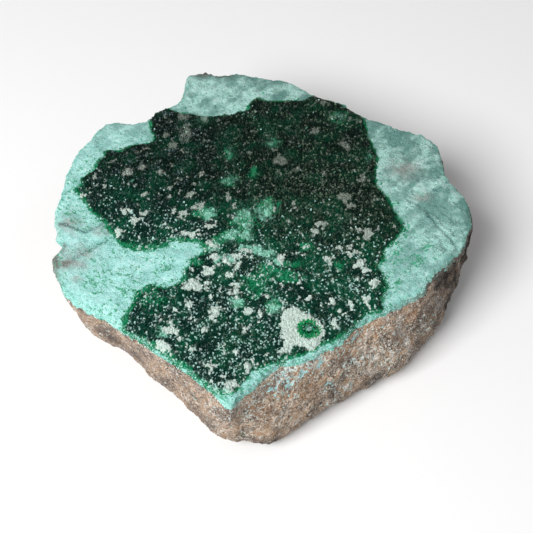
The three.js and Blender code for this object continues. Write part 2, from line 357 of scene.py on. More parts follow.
class Finish:
    """One procedural material on a Principled shader."""

    def __init__(self, name):
        self.material = bpy.data.materials.new(name)
        self.material.use_nodes = True
        self.tree = self.material.node_tree
        self.tree.nodes.clear()
        place = self.node("ShaderNodeTexCoord", output="Object")
        self.place = self.node("ShaderNodeVectorMath", {"operation": "SCALE"}, {0: place, "Scale": 1 / MM})

    def node(self, kind, settings=None, sockets=None, output=0):
        """Adds a node: first its settings, of which stops are a colour ramp's, then values or wires."""
        made = self.tree.nodes.new(kind)
        for key, value in (settings or {}).items():
            if key == "stops":
                for _ in value[2:]:
                    made.color_ramp.elements.new(0.5)
                for element, (position, colour) in zip(made.color_ramp.elements, value):
                    element.position = position
                    element.color = (*colour, 1)
            else:
                setattr(made, key, value)
        for key, value in (sockets or {}).items():
            if isinstance(value, Wire):
                self.tree.links.new(value.socket, made.inputs[key])
            else:
                made.inputs[key].default_value = value
        return None if output is None else Wire(self, made.outputs[output])

    def attribute(self, name, output="Fac"):
        """A number or a colour that the piece's points carry."""
        return self.node("ShaderNodeAttribute", {"attribute_name": name}, output=output)

    def noise(self, size, detail=3, place=None, roughness=0.55, distortion=0.0):
        """Noise from 0 to 1 with features of the given size in millimetres."""
        sockets = {"Vector": place or self.place, "Scale": 1 / size, "Detail": detail,
                   "Roughness": roughness, "Distortion": distortion}
        return self.node("ShaderNodeTexNoise", {}, sockets)

    def grains(self, size, output="Distance"):
        """Cells of the given size: their distance field, or one random colour for each."""
        return self.node("ShaderNodeTexVoronoi", {}, {"Vector": self.place, "Scale": 1 / size}, output)

    def dice(self, size):
        """One random number for each cell of the given size: the first channel of its random colour."""
        return self.node("ShaderNodeSeparateColor", {}, {0: self.grains(size, "Color")})

    def painted(self, colour, *coats):
        """Coats of paint over a colour, one after another: each is a share and its colour."""
        for share, coat in coats:
            sockets = {0: share, 6: paint(colour), 7: paint(coat)}
            colour = self.node("ShaderNodeMix", {"data_type": "RGBA"}, sockets, output=2)
        return colour

    def ramp(self, factor, *stops):
        """A colour ramp: stops are (position, colour)."""
        return self.node("ShaderNodeValToRGB", {"stops": stops}, {0: factor})

    def bump(self, height, distance, strength=1.0):
        """Shading relief: height in shares of a distance given in millimetres."""
        sockets = {"Height": height, "Distance": distance * MM, "Strength": strength}
        return self.node("ShaderNodeBump", {}, sockets)

    def shade(self, **sockets):
        """Closes the material with a Principled shader."""
        named = {key.replace("_", " "): value for key, value in sockets.items()}
        surface = self.node("ShaderNodeBsdfPrincipled", {}, named)
        self.node("ShaderNodeOutputMaterial", {}, {0: surface}, output=None)
        return self.material

# %% Colours


def paint(colour):
    """Wires pass through; three numbers get an opaque fourth."""
    return colour if isinstance(colour, Wire) else (*colour, 1)


def srgb(red, green, blue):
    """A colour seen on screen, 0 to 255, as the linear light that Blender's sockets take."""
    seen = np.array([red, green, blue]) / 255
    return np.where(seen <= 0.04045, seen / 12.92, ((seen + 0.055) / 1.055) ** 2.4)


# %% [markdown]
# Sandstone: the shape
# The broken side is a surface of direction and height. From foot to belly it follows a quarter of an
# ellipse, from belly to rim a quarter of a sine, as on a stone whose edges have been knocked off. Then
# the relief is pushed along the surface's own normal: broad dents, flatter facets from a cell pattern, and
# the grain. A Displace modifier could do this with a texture, but worked out here the relief is in the
# mesh and can be kept away from the flat foot.

# %% Sandstone skin
SLAB_CELLS = 180  # cells along one side of the disc grid; the rings have four times as many
TOP_SHARES = np.array([0.992, 0.984, 0.974, 0.964, 0.952, 0.94, 0.925, 0.91, 0.89, 0.86, 0.7, 0.4])


def swell(x, y):
    """The bedding face's gentle swell: a wide product of sines plus a narrower slanted one."""
    broad = 0.35 * np.sin(0.085 * x + 0.6) * np.cos(0.07 * y - 0.4)
    return broad + 0.2 * np.sin(0.13 * x - 0.11 * y + 1.7)


def bedding(x, y):
    """Height of the bedding face above its mean: the swell, less a rounding at the rim."""
    share = np.hypot(x, y) / rim_radius(np.arctan2(y, x))
    return swell(x, y) - RIM_DROP * np.clip((share - ROUNDING_START) / (1 - ROUNDING_START), 0, 1)


def side_point(angle, radius, height):
    """Cylinder coordinates to x, y, z."""
    return xyz(radius * np.cos(angle), radius * np.sin(angle), height)

# %% Rings of the slab


def sandstone_rings(angle):
    """Rings from the foot up the side and over the top face. Foot to belly: radius and height go round a
    quarter ellipse. Belly to rim: the radius goes back by a quarter sine while the height rises evenly.
    Top: shares of the rim's radius on the bedding face."""
    foot, belly, low, rim = foot_radius(angle), belly_radius(angle), belly_height(angle), rim_radius(angle)
    lean = np.linspace(np.pi / 2, 0, 24)[1:-1, None]
    under = side_point(angle, foot + (belly - foot) * np.cos(lean), low * (1 - np.sin(lean)))
    risen = np.linspace(0, 1, 44)[:, None]
    brink = STONE_TOP + bedding(rim * np.cos(angle), rim * np.sin(angle))
    back = rim + (belly - rim) * np.sin((1 - risen) * np.pi / 2)
    side = side_point(angle, back, low + (brink - low) * risen)
    top = side_point(angle, TOP_SHARES[:, None] * rim, STONE_TOP)
    top[..., 2] += bedding(top[..., 0], top[..., 1])
    return np.concatenate([under, side, top])


def ring_normals(rings):
    """Unit normals of a stack of rings, from the cross product of the two grid directions."""
    along = np.roll(rings, -1, axis=1) - np.roll(rings, 1, axis=1)
    across = np.gradient(rings, axis=0)
    normal = np.cross(along, across)
    return normal / np.linalg.norm(normal, axis=-1, keepdims=True)

# %% Relief of the slab
FURROWS = (  # direction and half width in degrees, depth
    (-9.5, 2.0, 1.1), (-14.5, 1.5, 0.9), (-4.5, 1.8, 0.8), (-18.5, 1.5, 0.6),
)
DENT = np.array([42.5, -15, 4.5])


def furrow_depth(points):
    """Depth of the furrows: each falls off like a bell to both sides of its wavy line, comes and goes along
    it, and ends where the slab turns under."""
    angle, radius = polar(points)
    wavy = np.degrees(angle) + 2.4 * noise(points, 12, 14) + 0.35 * noise(points, 2.5, 16)
    reach = smooth_step(radius / foot_radius(angle), 0.97, 1.04)
    broken = smooth_step(noise(points, 4.5, 15), -0.45, 0.3)
    depth = sum(deep * np.exp(-(((wavy - direction) / width) ** 2)) for direction, width, deep in FURROWS)
    return depth * reach * (0.25 + 0.75 * broken)


def sandstone_relief(points):
    """How far the surface stands out: broad dents, facets where a cell pattern is cut flat, thin beds that
    weather back, and grain. Furrows run up the side at the far right."""
    shape = points.shape[:-1]
    flat_points = points.reshape(-1, 3)
    near, second, owner = nearest_cells(flat_points + rough(flat_points, 5, 2, 3)[:, None], 8.5, 2)
    facets = 0.7 * (owner - 0.5) * smooth_step(second - near, 0, 0.3)
    beds = 0.2 * noise(flat_points * (0.25, 0.25, 1), 1.6, 7)
    relief = 0.75 * rough(flat_points, 8, 3, 1) + facets + beds
    relief = relief + 0.34 * noise(flat_points, 1.9, 11) + 0.22 * noise(flat_points, 0.9, 12)
    dent = 1.1 * np.exp(-np.sum((flat_points - DENT) ** 2, axis=1) / 40)
    return (relief - furrow_depth(flat_points) - dent).reshape(shape)

# %% Build the slab's skin
share, angle = disc_grid(SLAB_CELLS)
base = side_point(angle, share * foot_radius(angle), 0.0)
hollow = 0.8 * np.clip(rough(base.reshape(-1, 3), 8, 4, 21) - 0.25, 0, 1).reshape(share.shape)
base[..., 2] = hollow * smooth_step(1 - share, 0, 0.12)
rings = sandstone_rings(ring_angles(SLAB_CELLS))
lift = smooth_step(rings[..., 2], 0, 2.0)[..., None]
slab_rim = rim_radius(ring_angles(SLAB_CELLS))
buried = smooth_step(polar(rings)[1] / slab_rim, 0.85, 0.97)
top_rows = np.arange(len(rings))[:, None] >= len(rings) - len(TOP_SHARES)
below_brink = STONE_TOP - rings[..., 2]
calm = np.where(top_rows, 0.35 * buried, 0.35 + 0.65 * smooth_step(below_brink, 0.3, 4))[..., None]
rings = rings + ring_normals(rings) * (sandstone_relief(rings)[..., None] * lift * calm)
tucked = 0.65 * towards(ring_angles(SLAB_CELLS), 183, 27) * smooth_step(below_brink, 5, 1)
rings[..., :2] *= (1 - tucked / slab_rim)[..., None]
rings[..., 2] = np.maximum(rings[..., 2], 0)
stone_points, stone_triangles = closed_skin(base, rings, (0, 0, STONE_TOP + swell(0, 0)))
stone_triangles = stone_triangles[:, ::-1]  # this skin's disc is the underside, so it is turned over
print("sandstone", len(stone_points), "points")

# %% [markdown]
# Sandstone: the finish
# Up close the side is sand: each grain has its own grey, tan or rust, with dark gaps between. A cell
# texture gives one random colour to each grain, and a second, finer one breaks it up. Over that lie rusty
# and grey stains many grains wide, drawn out along the beds, and specks of turquoise dust near the crust.
# Shade is painted on too: at the far right, in the furrows, and towards the bottom of the flank.

# %% Sandstone finish
STAINS = ((0.0, srgb(56, 45, 40)), (0.25, srgb(112, 95, 82)), (0.5, srgb(167, 147, 126)),
          (0.72, srgb(182, 146, 110)), (1.0, srgb(210, 203, 194)))
RUST = srgb(178, 134, 94)
# painted shade for the far right flank
SHADE = srgb(44, 33, 26)
# painted shade in the furrows
FURROW_SHADE = srgb(16, 12, 10)
BED_AXIS = np.array([0.45, -0.25, 0.86])


def stain_share(points):
    """Where a place lies between the darkest and the palest stain: noise drawn out along one axis."""
    streaked = points - 0.6 * (points @ BED_AXIS)[:, None] * BED_AXIS
    return smooth_step(rough(streaked, 4.6, 4, 141) + 0.35 * noise(streaked, 1.2, 147), -0.8, 0.85)


def sandstone_finish():
    """Sand in two grain sizes over rusty and grey stains, then all that the flank's masks put on it,
    with painted shade among them.
    """
    stone = Finish("sandstone")
    fine = stone.dice(0.28)
    streaked = stone.node("ShaderNodeMapping", {"vector_type": "TEXTURE"},
                          {"Vector": stone.place, "Rotation": (0.5, 0.7, 0.4), "Scale": (1, 1, 2.2)})
    patch = stone.noise(1.6, 4, streaked, 0.6, 0.8)
    coarse = stone.noise(2.6, 3).between(0.42, 0.58)
    sand = stone.ramp(stone.dice(0.48), (0.0, srgb(56, 46, 40)), (0.22, srgb(120, 104, 90)),
                      (0.55, srgb(172, 156, 138)), (0.82, srgb(216, 206, 192)), (0.96, srgb(246, 242, 234)))
    rusty = (stone.attribute("rusty") * 0.9 + patch.between(0.52, 0.62) * 0.35).clamped()
    frost = stone.noise(0.7, 3) + stone.attribute("crusted") * 0.16 + stone.attribute("frosted") * 0.1
    dust = stone.noise(1.3, 3) + stone.attribute("dusted") * 0.22
    moss = stone.noise(0.9, 2) + stone.attribute("mossy") * 0.2
    cracks = (stone.noise(2.4, 5, streaked, 0.6, 1.0) - 0.5).math("ABSOLUTE")
    stain = stone.attribute("stain")
    colour = stone.painted(
        stone.ramp(stain + (patch - 0.5) * 0.7, *STAINS),
        (stone.attribute("pinkish") * 0.5, srgb(158, 134, 122)),
        (rusty * 0.7, RUST),
        ((1 - patch).between(0.53, 0.63) * 0.7, srgb(78, 66, 58)),
        (0.22 + coarse * 0.28, sand),
        (fine.between(0.84, 0.95) * (0.2 + coarse * 0.6), srgb(232, 230, 222)),
        ((1 - fine).between(0.8, 0.96) * (0.3 + coarse * 0.6), srgb(44, 36, 32)),
        (frost.between(0.66, 0.72) * 0.8, srgb(216, 234, 230)),
        (dust.between(0.68, 0.72) * 0.9, srgb(168, 224, 226)),
        (moss.between(0.72, 0.76) * 0.8, srgb(26, 84, 66)),
        # dark spots, partly painted shade, and painted shade towards the bottom of the flank
        (stone.attribute("grimy") * patch.between(0.38, 0.52) * 0.85, srgb(58, 50, 48)),
        (cracks.between(0.028, 0.0) * 0.55, srgb(66, 54, 48)),
        # painted shade on the far right flank, less where the stain is pale
        ((stone.attribute("shaded") * (1.3 - stain)).clamped(), SHADE),
        # painted shade in the furrows
        (stone.attribute("furrow") * 0.9, FURROW_SHADE),
    )
    height = stone.grains(0.42) * 0.8 + stone.noise(0.3, 2) * 0.6
    return stone.shade(Base_Color=colour, Roughness=0.92, Normal=stone.bump(height, 0.22))

# %% Where the flank is stained, and where shade is painted on it


def turned_to(points, direction, half_width):
    """1 on the flank in the given direction in degrees, falling to 0 to both sides and under the slab."""
    angle, radius = polar(points)
    return towards(angle, direction, half_width) * smooth_step(radius, 28, 40)


def shaded_share(points):
    """How much shade is painted on the flank: most at the far right."""
    return np.clip(1.3 * turned_to(points, -3, 19), 0, 1)


def near_spots(points, spots):
    """1 at each spot, falling off like a bell at its radius."""
    strongest = np.zeros(len(points))
    for x, y, z, radius in spots:
        strongest = np.maximum(strongest, np.exp(-np.sum((points - (x, y, z)) ** 2, axis=1) / radius**2))
    return strongest


TURQUOISE_SPOTS = (  # x, y, z, radius
    (5.5, -38.5, 19, 2.2), (3, -40, 17.5, 1.6), (8.5, -38, 20, 1.8), (12, -35.5, 20.5, 1.6),
    (2, -41.5, 20, 1.6), (20, -29.5, 20.5, 1.5), (14, -35.5, 12, 1.5), (25, -29, 11, 1.2),
    (18, -33.5, 8, 1.2),
)
MOSSY_SPOTS = (
    (0, -44, 13, 1.6), (-4, -45.5, 8, 1.5), (-3, -44, 6, 1.5), (8, -40, 14, 1.5), (-9, -44, 9, 1.6),
    (-6, -45, 8, 1.2), (-14, -41, 17, 1.5),
)
RUSTY_SPOTS = (
    (17, -29.5, 20, 4), (25, -26, 20, 3.5), (9, -38, 14, 4), (0, -43.5, 17, 3), (33, -21, 19, 3),
)
FROSTED_SPOTS = (
    (28, -28, 11, 6), (35, -21, 12, 5), (15, -35, 6, 4), (20, -31, 14, 4), (-2, -44.5, 15, 2.5),
)
# dark spots on the flank, partly painted shade
DARK_SPOTS = (
    (-12, -41, 10, 4), (-20, -35, 11, 3), (-33, -26, 15, 3.5), (-27, -30, 13, 3), (24, -31, 6, 3),
    (34, -23, 6, 4), (40, -17, 14, 4), (2, -45, 4, 2.5), (30, -27, 16, 2.5),
)

# %% Slab piece
under_crust = np.exp(-np.clip(STONE_TOP - stone_points[:, 2], 0, 99) / 6)
crusted = under_crust * (0.2 + turned_to(stone_points, -82, 14) + 0.7 * turned_to(stone_points, -58, 18))
# dark spots, partly painted shade, and painted shade over the lowest 5 mm of the flank, under its belly
grimy = near_spots(stone_points, DARK_SPOTS) + 0.5 * smooth_step(5 - stone_points[:, 2], 0, 5)
make_piece("sandstone_slab", SANDSTONE, sandstone_finish(), stone_points, stone_triangles,
           crusted=np.clip(crusted, 0, 1), grimy=np.clip(grimy, 0, 1),
           shaded=shaded_share(stone_points), pinkish=turned_to(stone_points, -135, 35),
           dusted=near_spots(stone_points, TURQUOISE_SPOTS), mossy=near_spots(stone_points, MOSSY_SPOTS),
           rusty=near_spots(stone_points, RUSTY_SPOTS), frosted=near_spots(stone_points, FROSTED_SPOTS),
           stain=stain_share(stone_points), furrow=np.clip(1.3 * furrow_depth(stone_points), 0, 1))

# %% [markdown]
# Pale crust: the shape
# The crust is a sheet of fine mineral fibres that grew out from the bedding face, so its top is felted and
# softly lumpy, with a few creases. Its edge is broken and leans back. The sheet is one closed skin: the
# disc is its top, the rings go down the broken edge and back underneath, inside the stone.

# %% Crust skin
CRUST_CELLS = 260
CREASES = (  # x, y of both ends, half width, depth
    (37, 1.2, 40, -3.9, 0.28, 0.3),
    (40, -3.9, 42.2, -7.2, 0.28, 0.3),
    (38.2, 1.8, 42.6, -5, 0.2, 0.22),
    (33, 5.2, 38.5, 0.4, 0.3, 0.2),
    (39, 4, 43.5, -2, 0.22, 0.22),
    (38.5, -5.4, 40.4, -9.6, 0.2, 0.22),
    (-45, -1.8, -39, -3.8, 0.4, 0.3),
    (-39, -3.8, -35, -1.8, 0.5, 0.25),
    (-41, -11, -34, -6, 0.5, 0.2),
)


def crust_setback(angle):
    """How far the crust ends inside the rim: a constant, more where it has chipped away, and ragged."""
    back = CRUST_SETBACK + sum(depth * towards(angle, *chip) for *chip, depth in CHIPS)
    ring = side_point(angle, rim_radius(angle), 0.0)
    ragged = 0.24 * rough(ring, 3.4, 2, 31)
    return back * (1 + 1.1 * rough(ring, 3.0, 3, 33)) + np.clip(ragged, -0.15, 1)

# %% Relief of the crust


def gap_to_span(x, y, x0, y0, x1, y1):
    """Distance to a straight span: its nearest point is a share t of the way from one end to the other."""
    along_x, along_y = x1 - x0, y1 - y0
    t = np.clip(((x - x0) * along_x + (y - y0) * along_y) / (along_x**2 + along_y**2), 0, 1)
    return np.hypot(x - x0 - t * along_x, y - y0 - t * along_y)


def crease_depth(x, y):
    """Depth of the creases: each is a straight furrow whose depth falls off with distance like a bell."""
    depth = np.zeros_like(x)
    wander_x = x + 0.7 * noise(flat(x, y), 2.5, 41)
    wander_y = y + 0.7 * noise(flat(x, y), 2.5, 42)
    for *ends, half_width, deep in CREASES:
        gap = gap_to_span(wander_x, wander_y, *ends)
        depth = np.maximum(depth, deep * np.exp(-((gap / half_width) ** 2)))
    return depth


def crust_relief(x, y):
    """Felted relief: soft lumps, ridges where noise folds over itself, short slanting fibres, creases."""
    here = flat(x, y)
    lumps = 0.3 * rough(here, 7, 3, 51)
    folds = 0.22 * (0.35 - np.abs(noise(here, 3.2, 55)))
    slanted = flat((x + y) / 2.6, x - y)
    fibres = 0.12 * noise(slanted, 0.9, 57) + 0.09 * noise(here, 0.8, 58)
    across = flat((x - y) / 3.5, x + y)
    right_folds = 0.2 * (0.3 - np.abs(noise(across, 1.5, 59))) * smooth_step(x, 26, 34)
    return lumps + folds + fibres + right_folds - crease_depth(x, y)


def crust_top(x, y):
    """Height of the crust's top face."""
    return STONE_TOP + CRUST_THICKNESS + bedding(x, y) + crust_relief(x, y)

# %% Build the crust's skin
share, angle = disc_grid(CRUST_CELLS)
edge_angle = ring_angles(CRUST_CELLS)
edge_foot = rim_radius(edge_angle) - crust_setback(edge_angle)
bevel = CRUST_BEVEL * (1 + 0.5 * rough(side_point(edge_angle, edge_foot, 0.0), 3, 2, 61))
brow = around(side_point(edge_angle, 1.0, 0.0), edge_foot - bevel)
top = side_point(angle, share * brow(angle), 0.0)
top[..., 2] = crust_top(top[..., 0], top[..., 1])
turn = np.linspace(0, np.pi / 2, 9)[1:, None]
edge = side_point(edge_angle, edge_foot - bevel * (1 - np.sin(turn)), 0.0)
high = crust_top(edge[..., 0], edge[..., 1])
low = STONE_TOP + bedding(edge[..., 0], edge[..., 1]) - 0.35
edge[..., 2] = high - (high - low) * (1 - np.cos(turn))
crumbled = 0.3 * noise(edge.reshape(-1, 3), 1.5, 63) + 0.2 * noise(edge.reshape(-1, 3), 0.7, 64)
edge += ring_normals(edge) * crumbled.reshape(edge.shape[:2])[..., None]
inner = side_point(edge_angle, np.array([0.9, 0.6, 0.3])[:, None] * edge_foot, 0.0)
inner[..., 2] = STONE_TOP + swell(inner[..., 0], inner[..., 1]) - 0.6
pole = (0, 0, STONE_TOP + swell(0, 0) - 0.6)
crust_points, crust_triangles = closed_skin(top, np.concatenate([edge, inner]), pole)
print("crust", len(crust_points), "points")

# %% [markdown]
# Druse: where it grows
# The druse's border and the patches of colour are places on the top face, so they are held as plain lists
# of millimetres: pale, mint and emerald patches on the druse, flecks and stains on the crust. They were read
# by eye against a millimetre grid, and most of the border's points were then moved to the druse's height by
# a separate calculation. A point's distance from the border, positive inside, says how thick the druse is.

# %% Border of the druse
BORDER = np.array([
    (31.5, -3.1), (30.4, -0.6), (29.1, 2.9), (28.9, 4.4), (27.7, 6.4), (26.4, 8.1), (26.1, 9.8),
    (26.3, 11.8), (26.5, 14.7), (26.8, 17.7), (26.4, 20.1), (25.5, 22.5), (24.9, 24.5), (24.8, 26.8),
    (24.7, 29.4), (23.4, 31), (21, 33.1), (18.9, 34.6), (15.6, 36.3), (12.7, 38.4), (10, 36.3), (5, 36),
    (0.5, 35.9), (-1, 36.8), (-2, 36.3), (-3.2, 34.6), (-4, 32.6), (-8, 31.2), (-11.9, 30.6),
    (-14.4, 30.4), (-16.9, 31.1), (-19.9, 31.2), (-21.9, 32.4), (-23.2, 33.2), (-25.9, 31.6),
    (-27.2, 29.2), (-26.4, 25.5), (-25.4, 23.6), (-25.9, 22.4), (-29.8, 21.5), (-32.3, 20.1),
    (-33.8, 19.3), (-35.8, 19.7), (-37.1, 19.1), (-36.8, 17.7), (-38.3, 16.2), (-38.6, 14), (-39.8, 12.7),
    (-41.5, 11.1), (-41.6, 9.1), (-42.7, 7.9), (-40.8, 5.2), (-39.3, 3.3), (-38.3, 1.7), (-36.8, 0),
    (-34.9, -1.5), (-33.9, -3.3), (-32.4, -5.1), (-31.2, -7), (-29.9, -8.1), (-27.9, -8.7), (-25.9, -8.8),
    (-23.4, -8.3), (-21.4, -7.7), (-20.4, -6.8), (-18.9, -6.3), (-16.4, -6.8), (-14.6, -6.9),
    (-13.2, -7.8), (-12.1, -9.2), (-12.9, -10.1), (-14.4, -11.2), (-15.4, -13.2), (-16.5, -14.7),
    (-16.9, -18.1), (-18.2, -18.3), (-19.4, -19.1), (-20.9, -19.6), (-22.4, -19), (-23.9, -18.4),
    (-25, -19.5), (-26.4, -20.4), (-27, -22.3), (-27.3, -23.8), (-28, -25.9), (-29, -27.3), (-28.4, -28.3),
    (-28.8, -29.8), (-28, -31.7), (-26.5, -31.8), (-24.5, -32.4), (-22.4, -33.6), (-20.4, -34.7),
    (-18.4, -36.1), (-16.3, -37.5), (-14.2, -39.4), (-12.2, -41), (-10.4, -42.4), (-9, -43.6),
    (-7.6, -44.4), (-6.2, -44.4), (-5.2, -43.5), (-4.5, -42.8), (-4.1, -42.2), (-3.2, -40.8),
    (-2.1, -39.3), (-0.6, -38.3), (3.7, -36.7), (8.7, -34.9), (10.7, -33.9), (14.5, -31.6), (16.5, -30.7),
    (18, -29.3), (19.5, -27.8), (21.5, -25.8), (23.5, -24.9), (25.4, -24.4), (25.2, -21.7), (26.6, -19),
    (25.9, -17.7), (26.2, -16.2), (25.4, -14.9), (24.5, -13.4), (25.5, -12.4), (26.4, -12), (26.3, -10.2),
    (26.9, -8.7), (29.4, -6), (30.7, -4.4),
])

# %% Patches of colour
PALE_PATCHES = (  # x, y, half width, half height
    (-14.3, -19.1, 2.6, 1.5), (-18.8, -30, 2, 1.5), (-19.8, -34, 1.8, 1.3), (-12, -29.7, 1, 1),
    (-9.7, -26, 1.2, 1.8), (-6.3, -42.9, 1.5, 1.4), (-7, -16.6, 1.1, 0.7), (-11.3, -15.2, 1.3, 1.3),
    (-5.3, -13.9, 0.9, 1.2), (-5.7, -20, 1, 1.8), (-2.5, -25, 1, 1), (0, -25.9, 0.9, 0.9),
    (-3.6, -29.8, 0.7, 0.7), (-5.3, -35.2, 0.7, 0.7), (-2.5, -38.7, 1.1, 1.1), (-11, -38.4, 0.7, 0.7),
    (-7.5, -40.5, 0.5, 0.5), (-14.3, -34.7, 0.6, 0.6), (-27, -31.2, 1.2, 0.6), (-15.4, -23.9, 0.9, 0.9),
    (-11, -7.7, 1, 0.7), (-9.8, -11.6, 1, 1), (-8, -13, 1.3, 1), (-5.2, -11.8, 1, 0.9),
    (-3.3, -10, 1.2, 0.7), (-16, -5, 2.5, 1), (-11.6, -3, 1, 1), (-31.8, -4.4, 1, 1),
    (-28, -1.2, 1.2, 1.2), (-26.5, 0.8, 0.9, 0.9), (-30.5, 1.3, 0.8, 0.8), (-19.9, 1.6, 0.6, 0.6),
    (-17.5, 0.8, 1.1, 1.1), (-15.5, 2.3, 0.8, 0.8), (-14, 2.8, 0.8, 0.8), (-31, 12.8, 1.1, 1.1),
    (-27.5, 14.5, 0.7, 0.7), (-23.7, 13, 0.6, 0.6), (-38.2, 11, 0.7, 0.7), (-40.8, 5.8, 1.6, 0.5),
    (-19.7, 10.6, 0.5, 0.5), (-27, 6.2, 0.7, 0.7), (-21, 8.3, 0.6, 0.6), (-14, 12.1, 0.7, 0.7),
    (-7.8, 5.1, 0.9, 0.9), (-16.3, 6, 0.9, 0.9), (-19, 29.3, 1.4, 1.5), (-18.3, 24.3, 1.4, 2),
    (-21, 21.1, 1.1, 1.1), (-22.6, 23.8, 0.8, 0.8), (-18.7, 19.6, 0.6, 0.6), (-14, 29.3, 1, 1),
    (19.8, 20.3, 0.9, 2), (12.6, 24.8, 1, 1), (14.8, 34.6, 1, 1), (8, 13.3, 0.7, 0.7),
    (14, 11.5, 0.7, 0.7), (19, 5.3, 1.5, 1), (18, 4.1, 1.6, 0.7), (20, 2.6, 1, 1), (23, 10, 0.9, 0.9),
    (4.5, 15.6, 1.5, 1.5), (23, -5.2, 1.5, 1.5), (17, -8.7, 1, 0.7), (19.5, -10.2, 1.2, 0.7),
    (21.5, -13.2, 1, 1), (22.3, -14.9, 0.9, 0.9), (14.4, -12.5, 1.1, 1.1), (4.2, -11.8, 1.3, 0.8),
    (1.4, -13.4, 0.5, 0.5), (13.3, -2.7, 1.2, 1), (11.7, -4.7, 1, 1), (14.3, -23, 0.9, 0.9),
    (16.5, -25.2, 0.5, 0.5), (18.7, -23.7, 0.8, 0.8), (21.8, -22.7, 1.1, 1.1), (15.3, -28, 1, 1),
    (10, -22, 0.6, 0.6), (7.8, -18.5, 0.6, 0.6), (24, -18.7, 0.8, 1.2),
)
MINT_PATCHES = (
    (-4.1, -1, 1.9, 3), (0.7, 0.5, 1.9, 2.8), (-11.8, 0.5, 1.6, 1.8), (-6.7, -5.9, 1.8, 1.4),
    (-3.2, -5.6, 1.2, 1.5), (-10.7, -9, 1.4, 1.4), (-9, -12, 1.6, 1.5), (-6.6, -12.4, 1.5, 1.3),
    (-4, -8.9, 1.8, 1.5), (-1.4, -9.6, 1.2, 1.4), (1, -10.4, 1.8, 1.9), (3.6, -12.6, 1, 1.1),
    (-5.5, -23, 1.6, 1.6), (2.9, -24, 1.6, 1.8), (-8, -44.2, 2.2, 1.5), (-20.5, -30.7, 1.6, 1.4),
    (-14, 29.3, 1.2, 1.4), (18.5, 29.8, 1.6, 1.6), (-7.5, 10.3, 1.8, 1.4), (2.2, 21.5, 1.6, 1.4),
    (-7.8, 18.3, 0.9, 2), (25, 16.8, 1, 1.2),
)
EMERALD_PATCHES = (
    (-4, -2.2, 4, 4), (1, 2.3, 3.2, 3), (-12.5, 0.8, 3, 2.4), (2.7, -23.7, 2.4, 2), (-5, -23.2, 1.8, 1.5),
    (-7.5, 10.3, 3, 2.2), (-2, 12.6, 2, 2), (-7.8, 18.3, 1.6, 3.4), (2.2, 21.5, 2.8, 2.4),
    (18.5, 29.8, 3, 3), (-6, -6, 4, 1.6), (25, 16.8, 1.3, 1.3), (17, -13.7, 1.2, 1.2),
    (1.5, -15.7, 1.3, 1), (-1, -21.2, 1.3, 1.3), (-20.5, -30.7, 1.2, 1.2), (6, -14, 3, 1.6),
    (10, -9.5, 2.5, 1.5), (-1.9, -1.5, 1.5, 2.5), (-14, -13, 2.2, 1.6), (-10, -7, 2.5, 1.2),
    (1.8, -15, 4, 2), (5, -16.5, 4, 2.5), (-1.5, -18.5, 3.5, 3), (-23, -22.2, 2.4, 2.4),
)
GREEN_FLECKS = (
    (-32.6, -9.4, 0.5, 0.5), (-35.6, -7.2, 0.6, 0.5), (-41.8, -9.4, 0.5, 0.4), (-36.9, -12, 0.8, 0.7),
    (-32.8, -14.2, 0.5, 0.5), (-30.9, -13.9, 0.5, 0.4), (-29.2, -13.6, 0.5, 0.5), (-28.5, -16.3, 0.5, 0.6),
    (-34.5, -17, 0.5, 0.5), (-33.2, -16.5, 0.5, 0.4), (-30.5, -23.2, 0.8, 0.5), (-33.4, -24.2, 0.5, 0.5),
    (-31.1, -25.6, 0.5, 0.7), (-35, -20.6, 0.5, 0.5), (-29.1, -20.1, 1.1, 1.1), (36.1, -9.1, 0.9, 0.5),
    (32.6, 10.2, 0.6, 0.5), (35.1, 10.2, 0.5, 0.4), (37.4, -11.5, 0.7, 0.5), (31.3, -14.9, 1.0, 0.7),
    (27.8, -14.9, 0.9, 0.7), (32.3, 0, 0.6, 0.5), (33.5, -12, 2.4, 1.8), (30, 4, 1.2, 0.8),
    (-20.5, -14, 1.2, 1.5), (30, -9, 1.6, 1.4), (29, -12.5, 1.4, 1.2), (36, -8.5, 1.6, 1.2),
    (28.5, -18, 1.2, 1.6), (31.5, -5, 1, 1.2),
)
BROWN_STAINS = (
    (-44, -8.6, 1.2, 1.2), (-45.3, -13, 1.8, 4), (-42.5, -12.6, 1.6, 1.2), (-43.8, -18.1, 1, 1.2),
    (-14.8, 45.4, 3.2, 1.8), (-10.5, 45, 3.4, 1.5), (-18, 45.4, 1.8, 1.2),
)
ASHEN_AREAS = (
    (-38.7, -9.6, 3, 2), (-41, -12, 4, 3), (-43, -2, 3, 3), (-35, -3.5, 3, 1.5), (36.2, 5.8, 2.2, 1.4),
    (33, 14, 4, 3), (-39.7, -16.5, 1.2, 0.8),
)
ROSETTE_BED = np.array([
    (4, -26.7), (5.2, -24.7), (7, -23.9), (8.5, -25.5), (10.5, -26), (12, -27.7), (13, -28.7),
    (12.9, -31.2), (12, -32.7), (10.5, -34.4), (8.5, -33.9), (6.5, -33.5), (5, -35.4), (3.2, -35.2),
    (4.6, -33.2), (4.3, -31.2), (3.7, -28.7),
])
ROSETTE = (9.8, -29.7, 2.2)  # x, y, radius

# %% Distances and shares


def depth_inside(x, y, outline):
    """Distance to the nearest edge of a closed outline, positive inside. A point is inside where a line
    from it to the right crosses the outline an odd number of times."""
    nearest = np.full(x.shape, np.inf)
    inside = np.zeros(x.shape, dtype=bool)
    for (x0, y0), (x1, y1) in zip(outline, np.roll(outline, -1, axis=0)):
        nearest = np.minimum(nearest, gap_to_span(x, y, x0, y0, x1, y1))
        inside ^= ((y0 > y) != (y1 > y)) & (x < x0 + (y - y0) * (x1 - x0) / ((y1 - y0) or 1))
    return np.where(inside, nearest, -nearest)


def ragged(x, y):
    """How far the druse's edge strays from the border line."""
    return 0.55 * rough(flat(x, y), 2.0, 4, 103)


